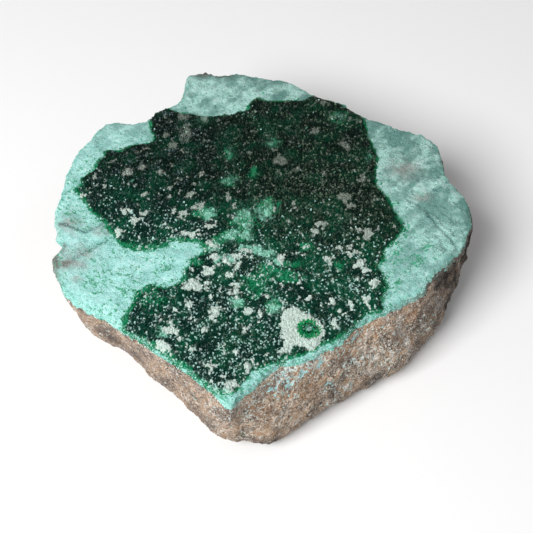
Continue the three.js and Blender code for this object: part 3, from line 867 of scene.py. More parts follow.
def patch_strength(x, y, patches):
    """Highest of the patches' bells: 1 at a patch's middle, a third at its stated half width. The place is
    first shifted by noise, so no patch is a clean ellipse."""
    here = flat(x, y)
    x = x + 0.6 * noise(here, 2.4, 121) + 0.35 * noise(here, 0.9, 122)
    y = y + 0.6 * noise(here, 2.4, 123) + 0.35 * noise(here, 0.9, 124)
    strongest = np.zeros_like(x)
    for px, py, half_width, half_height in patches:
        bell = np.exp(-(((x - px) / half_width) ** 2 + ((y - py) / half_height) ** 2))
        strongest = np.maximum(strongest, bell)
    return strongest


def pale_share(x, y):
    """How much of the druse is pale sugary grains: ragged patches, and the bed of the rosette."""
    here = flat(x, y)
    ragged = patch_strength(x, y, PALE_PATCHES) + 0.7 * rough(here, 1.2, 3, 81)
    scattered = smooth_step(rough(here, 1.5, 2, 83), 0.62, 0.8)
    bed = smooth_step(depth_inside(x, y, ROSETTE_BED) + 0.4 * noise(here, 1, 85), -0.2, 0.3)
    rosette = np.hypot(x - ROSETTE[0], y - ROSETTE[1]) + 0.6 * noise(here, 1.2, 87)
    heart = smooth_step(rosette, ROSETTE[2] - 0.3, ROSETTE[2] + 0.2)
    sharp = smooth_step(ragged, 0.32, 0.6)
    faint = smooth_step(ragged, 0.05, 0.95)
    patches = sharp + (faint - sharp) * smooth_step(y + 0.25 * x, -2, 14)
    return np.maximum(np.maximum(patches, scattered), bed) * heart


def emerald_share(x, y):
    """How much of the druse is bright emerald: diffuse patches, the rosette, and the border's fringe."""
    here = flat(x, y)
    cloud = patch_strength(x, y, EMERALD_PATCHES) * (1.0 + 0.9 * rough(here, 1.8, 3, 91))
    cloud = (cloud + 0.15 * rough(here, 3, 3, 92)) * (1 - 0.45 * smooth_step(y, 4, 12))
    rosette = smooth_step(ROSETTE[2] + 0.6 - np.hypot(x - ROSETTE[0], y - ROSETTE[1]), 0, 0.8)
    wide = 0.6 + 0.55 * smooth_step(-x, 4, 18) * smooth_step(-y, 0, 8)
    fringe = smooth_step(wide - depth_inside(x, y, BORDER) + 0.7 * rough(here, 2.2, 3, 93), 0, 0.9)
    return np.maximum(np.maximum(smooth_step(cloud, 0.1, 1.1), rosette), fringe)


print(len(PALE_PATCHES), "pale,", len(MINT_PATCHES), "mint and", len(EMERALD_PATCHES), "emerald patches")

# %% [markdown]
# Pale crust: the finish
# Copper minerals paint it: nearly white mint where the fibres are dense, teal where they are thin, emerald
# where small atacamite crystals peep through. Short slanting strokes give it the felted look.
# Its creases are painted darker, as shade.
# Towards the back right it is greyed: partly the crust's own grey teal, partly painted shade.

# %% Crust finish
# grey teal mint, partly painted shade
GREYED_SHADED_MINT = srgb(166, 194, 182)


def crust_clouds(x, y):
    """0 where the crust is thin and teal, 1 where it is dense and pale: noise drawn out along a slant."""
    slanted = flat((x + y) / 1.8, x - y)
    return smooth_step(rough(slanted, 3.6, 4, 131) + 0.5 * noise(flat(x, y), 5, 137), -0.6, 0.6)


def crust_finish():
    """Mint from three sizes of noise, then greyed (partly as painted shade), stroked, flecked and stained by
    the crust's masks.
    """
    crust = Finish("pale_crust")
    slant = crust.node("ShaderNodeMapping", {"vector_type": "TEXTURE"},
                       {"Vector": crust.place, "Rotation": (0, 0, math.radians(-35)), "Scale": (1.6, 1, 1)})
    felt = crust.noise(0.6, 4, slant, 0.65, 0.8)
    weave = crust.noise(1.5, 4, slant, 0.62, 0.6)
    tone = felt * 0.42 + weave * 0.33 + crust.noise(3.2, 5, None, 0.6) * 0.25
    mint = crust.ramp(tone, (0.38, srgb(48, 112, 98)), (0.435, srgb(92, 166, 152)),
                      (0.485, srgb(142, 208, 198)), (0.55, srgb(184, 234, 229)), (0.62, srgb(232, 252, 252)))
    greyed = crust.attribute("greyed")
    thin = 1 - crust.attribute("cloud") + (weave - 0.5) * 1.2
    strokes = crust.noise(0.9, 4, slant, 0.7, 1.2).between(0.47, 0.36)
    flecks = crust.noise(0.75, 3, slant) + crust.attribute("specked") * 0.28
    fringe = crust.attribute("fringe") + crust.noise(0.8, 3) - 0.5
    colour = crust.painted(
        mint,
        # greyed towards the back right: partly the crust's own grey teal, partly painted shade
        ((1 - greyed) * 0.45, srgb(176, 232, 227)),
        (greyed * 0.5, GREYED_SHADED_MINT),
        ((greyed * thin.between(0.1, 1.0) * 0.8).clamped(), srgb(64, 112, 106)),
        (thin.between(0.55, 1.1) * 0.2, srgb(84, 156, 142)),
        (strokes * (0.14 + greyed * 0.66), srgb(50, 100, 96)),
        (crust.attribute("edge") * 0.3, srgb(100, 182, 160)),
        (crust.attribute("ashen") * weave.between(0.36, 0.56) * 0.75, srgb(150, 142, 138)),
        (crust.attribute("stained") * crust.noise(1.2, 3).between(0.38, 0.50), srgb(92, 74, 66)),
        (flecks.between(0.70, 0.78) * 0.85, srgb(36, 146, 104)),
        (fringe.between(0.3, 0.62), srgb(14, 118, 78)),
        # painted shade in the creases
        (crust.attribute("crease") * 0.8, srgb(44, 84, 82)),
    )
    height = felt * 0.7 + crust.noise(0.35, 2) * 0.3
    return crust.shade(Base_Color=colour, Roughness=0.85, Normal=crust.bump(height, 0.35))

# %% Where the crust changes colour


def inside_crust(x, y):
    """Distance inwards from the crust's edge."""
    angle = np.arctan2(y, x)
    return rim_radius(angle) - crust_setback(angle) - np.hypot(x, y)


def outside_druse(x, y):
    """Distance from the druse's ragged edge, positive on the bare crust."""
    return -depth_inside(x, y, BORDER) - ragged(x, y)


def greyed_and_shaded_share(x, y):
    """How far the crust has gone from bright mint at the front left to grey teal at the back right: partly
    the crust's own grey teal, partly painted shade.
    """
    return smooth_step(0.6 * x + y, -32, 50)


def in_front(x, y):
    """1 over the front and middle, a tenth behind, where flecks are rare."""
    return 1 - 0.9 * smooth_step(y + 0.15 * x, 8, 20)


def specked_share(x, y):
    """How many green flecks: at the listed places, near the druse, and in clouds towards the left."""
    listed = patch_strength(x, y, GREEN_FLECKS)
    near = 0.85 * np.exp(-np.clip(outside_druse(x, y), 0, 99) / 2.5)
    clouds = 0.6 * smooth_step(rough(flat(x, y), 6, 2, 71) - 0.01 * x, -0.1, 0.5)
    return np.maximum(np.maximum(listed, near), clouds) * in_front(x, y)


def stained_share(points):
    """How brown the crust is: at the listed places, and along the foot of its edge at the far right."""
    x, y, z = points.T
    below = STONE_TOP + CRUST_THICKNESS + bedding(x, y) - z
    foot = np.clip(1.6 * turned_to(points, -14, 16), 0, 1) * smooth_step(below, 0.25, 0.7)
    return np.maximum(patch_strength(x, y, BROWN_STAINS), foot)

# %% Crust piece
x, y = crust_points[:, 0], crust_points[:, 1]
on_edge = np.zeros(len(x))
on_edge[share.size:share.size + edge[..., 0].size] = 1
make_piece("pale_crust_sheet", CRUST, crust_finish(), crust_points, crust_triangles,
           greyed=greyed_and_shaded_share(x, y), stained=stained_share(crust_points), specked=specked_share(x, y),
           edge=on_edge, cloud=crust_clouds(x, y), crease=np.clip(crease_depth(x, y) / 0.3, 0, 1),
           fringe=np.exp(-np.clip(outside_druse(x, y), 0, 99) / 0.4),
           ashen=patch_strength(x, y, ASHEN_AREAS))

# %% [markdown]
# Grains by the thousand
# Both the crust's felt and the sandstone's sand are made of grains that stand a little proud. One grain is
# a squashed octahedron of eight faces. The grain is multiplied by arrays of sizes, leaned and moved to
# arrays of places, so twenty thousand of them are a few lines of arithmetic, and they join into one mesh.
# The crystals of the druse are planted in the same way further down.

# %% Planting many small shapes
GRAIN = (
    np.array([(0.5, 0, 0.5), (0, 0.5, 0.5), (-0.5, 0, 0.5), (0, -0.5, 0.5), (0, 0, 1.0), (0, 0, 0.0)]),
    np.array([(0, 1, 4), (1, 2, 4), (2, 3, 4), (3, 0, 4), (1, 0, 5), (2, 1, 5), (3, 2, 5), (0, 3, 5)]),
)
FULL_TURN = 2 * np.pi


def rotated(first, second, angle):
    """Two coordinates turned by an angle in their own plane."""
    c, s = np.cos(angle)[:, None], np.sin(angle)[:, None]
    return first * c - second * s, first * s + second * c


def plant(name, layer, finish, shape, sunk, places, tilt, heading, spin, sizes, **numbers):
    """Many copies of a small shape as one piece. Each is scaled by its width, thickness and length, spun
    about its own axis, tilted from upright towards its heading, and set at its place with a share of its
    length sunk. The numbers have one row for each copy."""
    shape_points, shape_faces = shape
    x, y, z = np.moveaxis((shape_points - (0, 0, sunk))[None] * sizes[:, None], -1, 0)
    x, y = rotated(x, y, spin)
    z, x = rotated(z, x, tilt)
    x, y = rotated(x, y, heading)
    points = (xyz(x, y, z) + places[:, None]).reshape(-1, 3)
    faces = (shape_faces + len(shape_points) * np.arange(len(places))[:, None, None]).reshape(-1, 3)
    numbers = {key: np.repeat(rows, len(shape_points), axis=0) for key, rows in numbers.items()}
    make_piece(name, layer, finish, points, faces, smooth=False, **numbers)

# %% Places for small shapes


def scattered(low, high, pitch, rng):
    """One random point in each cell of a square grid."""
    x, y = np.meshgrid(np.arange(low[0], high[0], pitch), np.arange(low[1], high[1], pitch))
    return x.ravel() + pitch * rng.random(x.size), y.ravel() + pitch * rng.random(x.size)


def drawn_from(rows, count, rng):
    """Random places on a stack of rings, and the surface's normals there: the row and the column are random
    numbers, and a place is blended from the four grid points around it."""
    row = rng.random(count) * (len(rows) - 1)
    column = rng.random(count) * rows.shape[1]
    r, c = row.astype(int), column.astype(int)
    next_c = (c + 1) % rows.shape[1]
    up, sideways = (row - r)[:, None], (column - c)[:, None]
    places = (rows[r, c] * (1 - up) + rows[r + 1, c] * up) * (1 - sideways)
    places += (rows[r, next_c] * (1 - up) + rows[r + 1, next_c] * up) * sideways
    return places, ring_normals(rows)[r, c]


def leaning(normal):
    """Tilt and heading that turn the Z axis to a normal."""
    return np.arccos(np.clip(normal[:, 2], -1, 1)), np.arctan2(normal[:, 1], normal[:, 0])

# %% Colours of small shapes


def tinted(hue, *tints):
    """Tints over rows of colours, one after another: each moves every row its share of the way to a colour,
    or to a row of its own."""
    for share, tint in tints:
        hue = hue + (np.array(tint) - hue) * np.reshape(share, (-1, 1))
    return hue


def opaque(hue):
    """Rows of red, green and blue with a fourth column of ones."""
    return np.column_stack([hue, np.ones(len(hue))])


def grain_finish(name, roughness):
    """Matt grains in the colour that their points carry, greyed a little by noise."""
    grains = Finish(name)
    greyish = (grains.noise(0.3, 2) * 0.2, (0.5, 0.5, 0.48))
    colour = grains.painted(grains.attribute("hue", output="Color"), greyish)
    return grains.shade(Base_Color=colour, Roughness=roughness)


rng = np.random.default_rng(2225)
PALEST_MINT = srgb(222, 246, 242)
MINT = srgb(160, 221, 215)
TEAL = srgb(80, 130, 124)
FLECK = srgb(44, 152, 110)

# %% [markdown]
# Felt of the crust
# The grains of the felt are flat and lie askew. Most have the mint colour of the sheet below them, some are
# nearly white, some teal, and green ones come where the sheet has flecks.

# %% Felt grains
FELT_PITCH = 0.34
EDGE_GRAINS = 5200
x, y = scattered((-47, -47), (48, 48), FELT_PITCH, rng)
bare = (outside_druse(x, y) > 0.1) & (inside_crust(x, y) > 1.3) & (rng.random(len(x)) > 0.1)
x, y = x[bare], y[bare]
places, normal = drawn_from(edge, EDGE_GRAINS, rng)
places = np.concatenate([xyz(x, y, crust_top(x, y)), places])
normal = np.concatenate([np.tile((0, 0, 1.0), (len(x), 1)), normal])
x, y = places[:, 0], places[:, 1]
count = len(x)
dice = rng.random((4, count))
clouds = crust_clouds(x, y)
greyed = greyed_and_shaded_share(x, y)
hue = tinted(
    MINT * np.ones((count, 1)),
    (dice[0] ** 1.5 * (0.35 + 0.65 * clouds), PALEST_MINT),
    # greyed towards the back right: partly the grains' own grey teal, partly painted shade
    ((dice[1] < 0.1 + 0.45 * greyed * (1.3 - clouds)) * (0.4 + 0.6 * dice[2]), TEAL),
    ((dice[1] > 0.82) * greyed * 0.8, PALEST_MINT),
    (0.5 * greyed, GREYED_SHADED_MINT),
    (0.85 * (1 - clouds) * greyed, TEAL),
    ((dice[3] < 0.35 * specked_share(x, y) ** 2) * (0.4 + 0.6 * dice[2]), FLECK),
    ((normal[:, 2] < 0.98) * (dice[3] < 0.35) * 0.8, srgb(70, 158, 134)),
    (0.85 * np.clip(stained_share(places), 0, 1), srgb(96, 78, 70)),
    (0.5 * patch_strength(x, y, ASHEN_AREAS), srgb(150, 146, 142)),
)
sizes = np.array([0.24, 0.16, 0.16]) + np.array([0.3, 0.16, 0.12]) * rng.random((3, count)).T
tilt, heading = leaning(normal)
askew = 0.5 * rng.random(count)
flat_top = normal[:, 2] > 0.999
heading = np.where(flat_top, rng.random(count) * FULL_TURN, heading)
plant("crust_felt", CRUST, grain_finish("crust_felt", 0.85), GRAIN, 0.6,
      places, tilt + askew, heading, rng.random(count) * FULL_TURN, sizes, hue=opaque(hue))

# %% [markdown]
# Sand of the slab
# Sand grains are rounder and sit on the flank with their short axis along the surface's normal. Their
# places are drawn from the rings of the skin, with the row and the column as two random numbers.

# %% Sand grains
SAND_COUNT = 25000
places, normal = drawn_from(rings[:-len(TOP_SHARES)], SAND_COUNT, rng)
clear = places[:, 2] > 0.6
places, normal = places[clear], normal[clear]
count = len(places)
dice = rng.random((3, count))
sand_hues = np.array([srgb(92, 72, 60), srgb(150, 126, 106), srgb(176, 152, 132), srgb(166, 122, 86),
                      srgb(206, 192, 178), srgb(236, 230, 222)])
hue = sand_hues[np.searchsorted((0.2, 0.45, 0.68, 0.8, 0.93), dice[0])]
stain = stain_share(places)
positions, stains = zip(*STAINS)
stained = np.stack([np.interp(stain, positions, channel) for channel in zip(*stains)], -1)
near_top = np.exp(-np.clip(STONE_TOP - places[:, 2], 0, 99) / 5) * turned_to(places, -75, 22)
hue = tinted(
    hue,
    (0.55, stained * (0.6 + 0.8 * dice[2][:, None])),
    (0.5 * near_spots(places, RUSTY_SPOTS), RUST),
    ((dice[1] < 0.2 * near_spots(places, FROSTED_SPOTS)) * 0.8, srgb(226, 232, 226)),
    ((dice[1] < 0.35 * near_top) * 0.9, srgb(196, 232, 228)),
    (dice[1] < 0.6 * near_spots(places, TURQUOISE_SPOTS), srgb(150, 214, 220)),
    # painted shade on the far right flank
    (np.clip(shaded_share(places) * (1.3 - stain), 0, 0.95), SHADE),
    # painted shade in the furrows
    (0.9 * np.clip(1.2 * furrow_depth(places), 0, 1), FURROW_SHADE),
    # dark spots, partly painted shade
    (0.6 * np.clip(near_spots(places, DARK_SPOTS), 0, 1), srgb(70, 60, 54)),
)
wide = 0.26 + 0.34 * rng.random(count) ** 2
sizes = xyz(wide, wide * (0.6 + 0.4 * rng.random(count)), 0.26 + 0.2 * rng.random(count))
tilt, heading = leaning(normal)
tilt = tilt + 0.3 * rng.normal(size=count)
plant("sand_grains", SANDSTONE, grain_finish("sand_grains", 0.8), GRAIN, 0.62,
      places, tilt, heading, rng.random(count) * FULL_TURN, sizes, hue=opaque(hue))

# %% [markdown]
# Druse: the bed
# Under the crystals lies their common base. It is a height field on a square grid: cells inside the
# border are kept, the top swells up from the crust over the first millimetre, and the underside lies in the
# crust. Walls join the two all round, so the bed is closed.

# %% Druse bed
BED_PITCH = 0.36


def bed_top(x, y):
    """Top of the bed: the crust's height, a rise that grows with the distance from the border, and bumps."""
    here = flat(x, y)
    rise = 0.72 * smooth_step(depth_inside(x, y, BORDER), -0.3, 1.1) - 0.12
    bumps = 0.16 * noise(here, 1.4, 101) + 0.1 * noise(here, 0.7, 102)
    rosette_dome = 0.2 * smooth_step(depth_inside(x, y, ROSETTE_BED), 0, 1.5)
    domes = 0.25 * patch_strength(x, y, PALE_PATCHES) + rosette_dome
    return crust_top(x, y) + rise + bumps * smooth_step(rise, -0.1, 0.4) + domes


def masked_field(x, y, top, bottom, kept):
    """Closed skin over the kept cells of a grid: top faces, bottom faces, and walls where a kept cell has no
    kept neighbour. x, y, top and bottom are at the corners, kept is for the cells."""
    number = np.arange(x.size).reshape(x.shape)
    corners = [number[:-1, :-1], number[:-1, 1:], number[1:, 1:], number[1:, :-1]]
    a, b, c, d = (corner[kept] for corner in corners)
    faces = [np.stack(f, 1) for f in ((a, b, c), (a, c, d))]
    faces += [np.stack(f, 1) + x.size for f in ((a, c, b), (a, d, c))]
    framed = np.pad(kept, 1)
    neighbours = (framed[:-2, 1:-1], framed[1:-1, 2:], framed[2:, 1:-1], framed[1:-1, :-2])
    for k, neighbour in enumerate(neighbours):
        open_side = kept & ~neighbour
        first, second = corners[k][open_side], corners[(k + 1) % 4][open_side]
        faces.append(np.stack([first, first + x.size, second + x.size], 1))
        faces.append(np.stack([first, second + x.size, second], 1))
    faces = np.concatenate(faces)
    points = np.concatenate([xyz(x, y, height).reshape(-1, 3) for height in (top, bottom)])
    used, faces = np.unique(faces, return_inverse=True)
    return points[used], faces.reshape(-1, 3)

# %% Build the bed's skin
low_corner, high_corner = BORDER.min(axis=0) - 1, BORDER.max(axis=0) + 1
x, y = np.meshgrid(np.arange(low_corner[0], high_corner[0], BED_PITCH),
                   np.arange(low_corner[1], high_corner[1], BED_PITCH))
top = bed_top(x, y)
middle_x, middle_y = x[:-1, :-1] + BED_PITCH / 2, y[:-1, :-1] + BED_PITCH / 2
kept = (outside_druse(middle_x, middle_y) < 0) & (inside_crust(middle_x, middle_y) > 0.5)
bed_points, bed_triangles = masked_field(x, y, top, np.minimum(top, crust_top(x, y)) - 0.4, kept)

# %% [markdown]
# Druse: the finish
# Atacamite is glassy and so dark a green that a thick crystal looks black, while a thin one or a broken
# edge glows emerald. The crystals carry their colour as an attribute: dark, emerald or pale. Noise in the
# material adds what varies inside one crystal.
# Some specks among them are painted sparkle and glints.

# %% Druse finish
DARKEST = srgb(3, 12, 9)
DARK = srgb(12, 36, 27)
TEAL_DARK = srgb(12, 58, 48)
FOREST = srgb(10, 94, 64)
OLIVE = srgb(106, 126, 104)
SLATE = srgb(112, 130, 134)
EMERALD = srgb(10, 116, 72)
JADE = srgb(44, 146, 108)
MINTY = srgb(140, 204, 182)
# frosty specks, partly pale grains and partly painted glints
FROST_AND_GLINT = srgb(188, 228, 220)
PALE = srgb(206, 222, 214)
DUSTY = srgb(150, 158, 148)


def druse_finish(name):
    """Glassy grains in the colour and with the dullness that their points carry."""
    druse = Finish(name)
    cloudy = druse.noise(0.5, 2).between(0.45, 0.75) * 0.15
    colour = druse.painted(druse.attribute("hue", output="Color"), (cloudy, srgb(20, 70, 50)))
    return druse.shade(Base_Color=colour, Roughness=0.14 + druse.attribute("dull") * 0.26, IOR=1.55,
                       Specular_IOR_Level=0.13, Normal=druse.bump(druse.noise(0.3, 2), 0.12, 0.5))

# %% Colour of the druse


def patchy(share, dice, grainy):
    """A share as a mixture of grains: where grainy is 0 every grain takes the share, where it is 1 a share
    of the grains takes all of it. Shares near 1 stay near 1."""
    unsure = 2 * np.sqrt(np.clip(share * (1.2 - share), 0, 1))
    return np.clip(share + grainy * (share * 1.1 - dice) * unsure, 0, 1)


def druse_hue(x, y, dice):
    """Colour of each grain, as a chain of tints: black-green to forest green in clouds, emerald and jade in
    the emerald patches, dim olive and slate specks of painted sparkle, frosty specks that are partly pale
    grains and partly painted glints, then pale grains, which are dusty at the back and clean in front.
    dice are random numbers from 0 to 1, one row for each decision. Also gives how pale and how dull the
    grain is."""
    here = flat(x, y)
    one = np.ones((len(x), 1))
    forward = -y - 0.25 * x
    nearer = smooth_step(forward, -12, 16)
    grainy = 0.25 + 0.6 * nearer
    cloud = smooth_step(rough(here, 5, 3, 111), -0.35, 0.6)
    green = emerald_share(x, y)
    mint = patch_strength(x, y, MINT_PATCHES) * (0.9 + 1.1 * rough(here, 1.5, 3, 113))
    mint = mint * (1 - 0.6 * smooth_step(y, 4, 12))
    crowd = smooth_step(rough(here, 3, 3, 115), -0.5, 0.6)
    # painted sparkle: dim olive and slate specks that stand for glinting facets
    sparkle_area = np.exp(-(((x - 13) / 16) ** 2) - ((y / 14) ** 2))
    painted_sparkle = (dice[6] < 0.11 + 0.1 * crowd + 0.2 * sparkle_area) * (0.12 + 0.78 * dice[3] ** 2)
    painted_sparkle = painted_sparkle * (1 - 0.4 * nearer)
    # frosty specks, partly pale grains and partly painted glints, crowd here and in front
    frost_and_glint_crowd = np.exp(-((x + 3) ** 2 + (y + 35) ** 2) / 90)
    crowded = (0.04 + 0.17 * crowd + 0.14 * frost_and_glint_crowd) * nearer * (1 - 0.5 * smooth_step(y, -6, 4))
    pale = patchy(pale_share(x, y), dice[4], 0.5 - 0.1 * nearer)
    pale = pale * (0.5 + 0.5 * smooth_step(forward, -24, 10))
    hue = tinted(
        DARKEST * one,
        (dice[0], DARK),
        (0.6 * nearer, TEAL_DARK),
        (cloud * (0.4 + 0.6 * nearer) * (0.3 + 0.7 * dice[1]), FOREST),
        (patchy(green, dice[2], grainy), tinted(EMERALD * one, (dice[3] * green * 0.8, JADE))),
        (patchy(np.clip(0.9 * mint, 0, 0.85), dice[5], grainy), MINTY),
        # painted sparkle
        (painted_sparkle, tinted(OLIVE * one, (smooth_step(x, -4, -20), SLATE))),
        # frosty specks: partly pale grains, partly painted glints
        ((dice[1] > 0.995 - crowded) * (0.25 + 0.75 * dice[3]), FROST_AND_GLINT),
        (pale, tinted(DUSTY * one, (nearer, PALE)) * (0.8 + 0.3 * dice[5][:, None])),
    )
    return opaque(hue), pale, np.clip(1 - nearer + pale, 0, 1)

# %% Bed piece
bed_hue, _, bed_dull = druse_hue(bed_points[:, 0], bed_points[:, 1], rng.random((7, len(bed_points))))
make_piece("druse_bed", DRUSE, druse_finish("druse_bed"), bed_points, bed_triangles,
           hue=bed_hue, dull=np.maximum(bed_dull, 0.6))

# %% [markdown]
# Druse: the crystals
# An atacamite crystal is a slim four-sided prism with a pointed top. One such shape of nine points is
# multiplied by arrays of sizes, turned by arrays of directions and moved to arrays of places, so tens of
# thousands of crystals are a few lines of arithmetic. Geometry Nodes could scatter them too, but here each
# one can ask the patches what colour it is and whether it is there at all.

# %% Crystals
CRYSTAL = (
    np.array([
        (-0.5, -0.5, 0), (0.5, -0.5, 0), (0.5, 0.5, 0), (-0.5, 0.5, 0),
        (-0.46, -0.46, 0.7), (0.46, -0.46, 0.7), (0.46, 0.46, 0.7), (-0.46, 0.46, 0.7), (0, 0, 1),
    ]),
    np.array([
        (0, 1, 5), (0, 5, 4), (1, 2, 6), (1, 6, 5), (2, 3, 7), (2, 7, 6), (3, 0, 4), (3, 4, 7),
        (4, 5, 8), (5, 6, 8), (6, 7, 8), (7, 4, 8), (0, 2, 1), (0, 3, 2),
    ]),
)
CRYSTAL_SUNK = 0.3  # share of a crystal's length that is in the ground
CRYSTAL_PITCH = 0.36
x, y = scattered(low_corner, high_corner, CRYSTAL_PITCH, rng)
grown = (outside_druse(x, y) < 0.1) & (inside_crust(x, y) > 0.35)
x, y = x[grown], y[grown]
hue, pale, dull = druse_hue(x, y, rng.random((7, len(x))))
long = (0.62 - 0.17 * pale) * (0.7 + 0.8 * rng.random(len(x)) ** 2)
wide = (0.36 + 0.06 * pale) * (0.75 + 0.5 * rng.random(len(x)))
sizes = xyz(wide, wide * (0.6 + 0.4 * rng.random(len(x))), long)
tilt = np.radians(np.abs(rng.normal(0, 38, len(x))))
places = xyz(x, y, bed_top(x, y))
heading, spin = rng.random((2, len(x))) * FULL_TURN
crystal_glass = druse_finish("atacamite_crystals")
third = np.quantile(y, (0, 1 / 3, 2 / 3, 1.0))
for part, low, high in zip(("front", "middle", "back"), third[:-1], third[1:] + (0, 0, 1)):
    here = (y >= low) & (y < high)
    rows = (values[here] for values in (places, tilt, heading, spin, sizes))
    plant(f"atacamite_crystals_{part}", DRUSE, crystal_glass, CRYSTAL, CRYSTAL_SUNK, *rows,
          hue=hue[here], dull=dull[here])

# %% [markdown]
# The rosette and the strays
# Near the front a ring of larger crystals fans out from one point in a bed of white grains. Its crystals
# lean further out the further they stand from the middle, as in a flower. Single crystals have also
# strayed from the druse onto the crust: most close to the border, some by themselves where the crust has
# green flecks.

# %% Rosette
ROSETTE_COUNT = 170
ROSETTE_DARK = srgb(6, 52, 34)
ROSETTE_BRIGHT = srgb(22, 150, 84)
ROSETTE_HEART = srgb(176, 220, 214)
radius = (ROSETTE[2] + 0.15) * np.sqrt(rng.random(ROSETTE_COUNT))
around_it = rng.random(ROSETTE_COUNT) * FULL_TURN
x, y = ROSETTE[0] + radius * np.cos(around_it), ROSETTE[1] + radius * np.sin(around_it)
out = radius / ROSETTE[2]
long = 0.75 + 0.3 * rng.random(ROSETTE_COUNT)
wide = 0.36 + 0.2 * rng.random(ROSETTE_COUNT)
tilt = np.radians(8 + 30 * out + 12 * rng.normal(size=ROSETTE_COUNT))
heading = around_it + 0.5 * rng.normal(size=ROSETTE_COUNT)
spin = rng.random(ROSETTE_COUNT) * FULL_TURN
hue = tinted(
    ROSETTE_DARK * np.ones((ROSETTE_COUNT, 1)),
    (smooth_step(out + 0.3 * rng.random(ROSETTE_COUNT), 0.5, 1.1), ROSETTE_BRIGHT),
    ((out < 0.3) * rng.random(ROSETTE_COUNT) ** 0.5, ROSETTE_HEART),
)
plant("atacamite_rosette", DRUSE, crystal_glass, CRYSTAL, CRYSTAL_SUNK, xyz(x, y, bed_top(x, y) - 0.1),
      tilt, heading, spin, xyz(wide, wide * 0.7, long), hue=opaque(hue), dull=np.zeros(ROSETTE_COUNT))

# %% Stray crystals
STRAY_PITCH = 0.42
x, y = scattered((-46, -46), (46, 46), STRAY_PITCH, rng)
outside = outside_druse(x, y)
inside_rim = inside_crust(x, y) > 0.9
near_border = 0.5 * np.exp(-np.clip(outside, 0, 99) / 0.45)
chance = (near_border + 0.3 * patch_strength(x, y, GREEN_FLECKS)) * in_front(x, y)
strays = (outside > 0) & inside_rim & (rng.random(len(x)) < chance)
x, y = x[strays], y[strays]
count = len(x)
wide = 0.2 + 0.16 * rng.random(count)
sizes = xyz(wide, wide * 0.7, 0.4 + 0.4 * rng.random(count))
tilt = np.radians(np.abs(rng.normal(0, 50, count)))
heading, spin = rng.random((2, count)) * FULL_TURN
hue = tinted(
    np.ones((count, 1)) * srgb(14, 104, 70),
    (rng.random(count), srgb(60, 180, 134)),
    (0.6 * smooth_step(outside[strays], 0.3, 1.5), srgb(96, 186, 150)),
)
plant("atacamite_strays", DRUSE, crystal_glass, CRYSTAL, CRYSTAL_SUNK, xyz(x, y, crust_top(x, y)),
      tilt, heading, spin, sizes, hue=opaque(hue), dull=np.full(count, 0.4))

# %% [markdown]
# The glints
# A druse sparkles because a few crystals happen to mirror the lamp. Those few are larger, clean crystals,
# and a flat prism face of each is turned half-way between the lamp and the viewer.

# %% Glinting crystals
GLINTS = (  # x, y, size
    (-30, 10.1, 0.9), (10.4, 25.8, 0.6), (8.7, 20.2, 0.5), (-4.7, 30.6, 0.6), (-2, 29.8, 0.5),
    (9.3, -29.4, 0.8), (-13, 9.5, 0.5), (-3, 6, 0.5), (16.5, 12, 0.5), (-21, -31, 0.5), (-12.5, -22, 0.6),
    (3, -31, 0.5),
)
LAID_BACK = np.pi / 2 - 0.35  # the prism lies back so that its side looks up and to the front left
x, y, size = np.array(GLINTS).T
same = np.ones(len(x))
glass = Finish("clean_crystals").shade(Base_Color=(*srgb(60, 110, 90), 1), Roughness=0.1, IOR=1.9)
plant("atacamite_glints", DRUSE, glass, CRYSTAL, CRYSTAL_SUNK, xyz(x, y, bed_top(x, y) + 0.2),
      LAID_BACK * same, np.radians(36) * same, 0.3 * same, np.outer(size, (0.6, 0.6, 1.6)))

# %% [markdown]
# Floor, light and camera
# The specimen stands on a plain pale floor. A big soft light at the front left is close enough that the
# near left corner is brighter than the far right, a weak one fills the right, and the camera looks down on
# the slab from in front.

# %% Floor


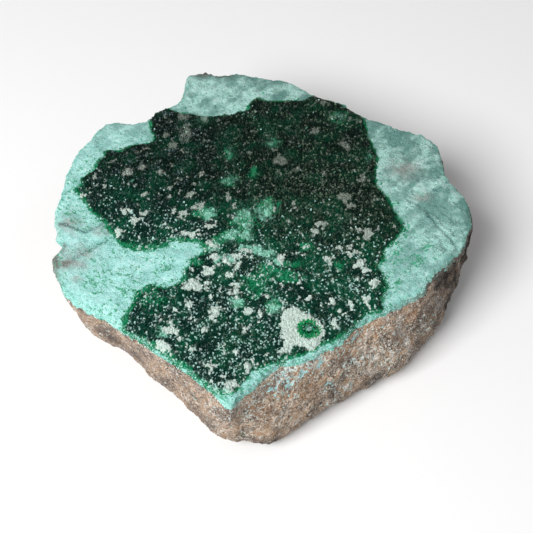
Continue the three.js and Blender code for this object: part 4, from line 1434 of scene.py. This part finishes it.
def floor_finish():
    """Nearly white, with a faint wide cloud."""
    plain = Finish("pale_floor")
    colour = plain.painted((0.92, 0.92, 0.92), (plain.noise(60, 2), (0.94, 0.94, 0.94)))
    return plain.shade(Base_Color=colour, Roughness=0.8)


FLOOR = 3.0
LOW = -0.00002  # just under the stone's foot, so the two faces don't coincide
corners = [(FLOOR * side_x, FLOOR * side_y, LOW) for side_x, side_y in ((-1, -1), (1, -1), (1, 1), (-1, 1))]
floor_mesh = bpy.data.meshes.new("floor")
floor_mesh.from_pydata(corners, [], [(0, 1, 2, 3)])
floor_mesh.materials.append(floor_finish())
floor = bpy.data.objects.new("floor", floor_mesh)
bpy.context.scene.collection.objects.link(floor)

# %% Lights


def aimed(thing, place, target):
    """Puts a light or camera at a place in metres, looking at a target."""
    thing.location = place
    thing.rotation_euler = (Vector(target) - Vector(place)).to_track_quat("-Z", "Y").to_euler()
    bpy.context.scene.collection.objects.link(thing)


def soft_light(name, place, size, power):
    """A square light of the given size in metres and power in watts, aimed at the middle of the slab."""
    light = bpy.data.lights.new(name, "AREA")
    light.size = size
    light.energy = power
    aimed(bpy.data.objects.new(name, light), place, (0, 0, 0.015))


soft_light("key", (-0.36, -0.36, 0.55), 0.4, 6.6)
soft_light("fill", (0.45, 0.15, 0.40), 0.4, 0.4)
world = bpy.data.worlds.new("studio")
world.use_nodes = True
world.node_tree.nodes["Background"].inputs["Color"].default_value = (1, 1, 1, 1)
world.node_tree.nodes["Background"].inputs["Strength"].default_value = 0.2
bpy.context.scene.world = world
bpy.context.scene.view_settings.view_transform = "Standard"

# %% Camera
CAMERA_TARGET = np.array([1.0, -6.5, 14.0])
CAMERA_DISTANCE = 230.0
CAMERA_ELEVATION = math.radians(55)
back = np.array([0, -math.cos(CAMERA_ELEVATION), math.sin(CAMERA_ELEVATION)])
camera_data = bpy.data.cameras.new("camera")
camera_data.lens = 68
camera_data.sensor_width = 36
camera_data.clip_start = 0.01
camera = bpy.data.objects.new("camera", camera_data)
aimed(camera, (CAMERA_TARGET + CAMERA_DISTANCE * back) * MM, CAMERA_TARGET * MM)
bpy.context.scene.camera = camera
print("camera at, mm:", (CAMERA_TARGET + CAMERA_DISTANCE * back).round(1))
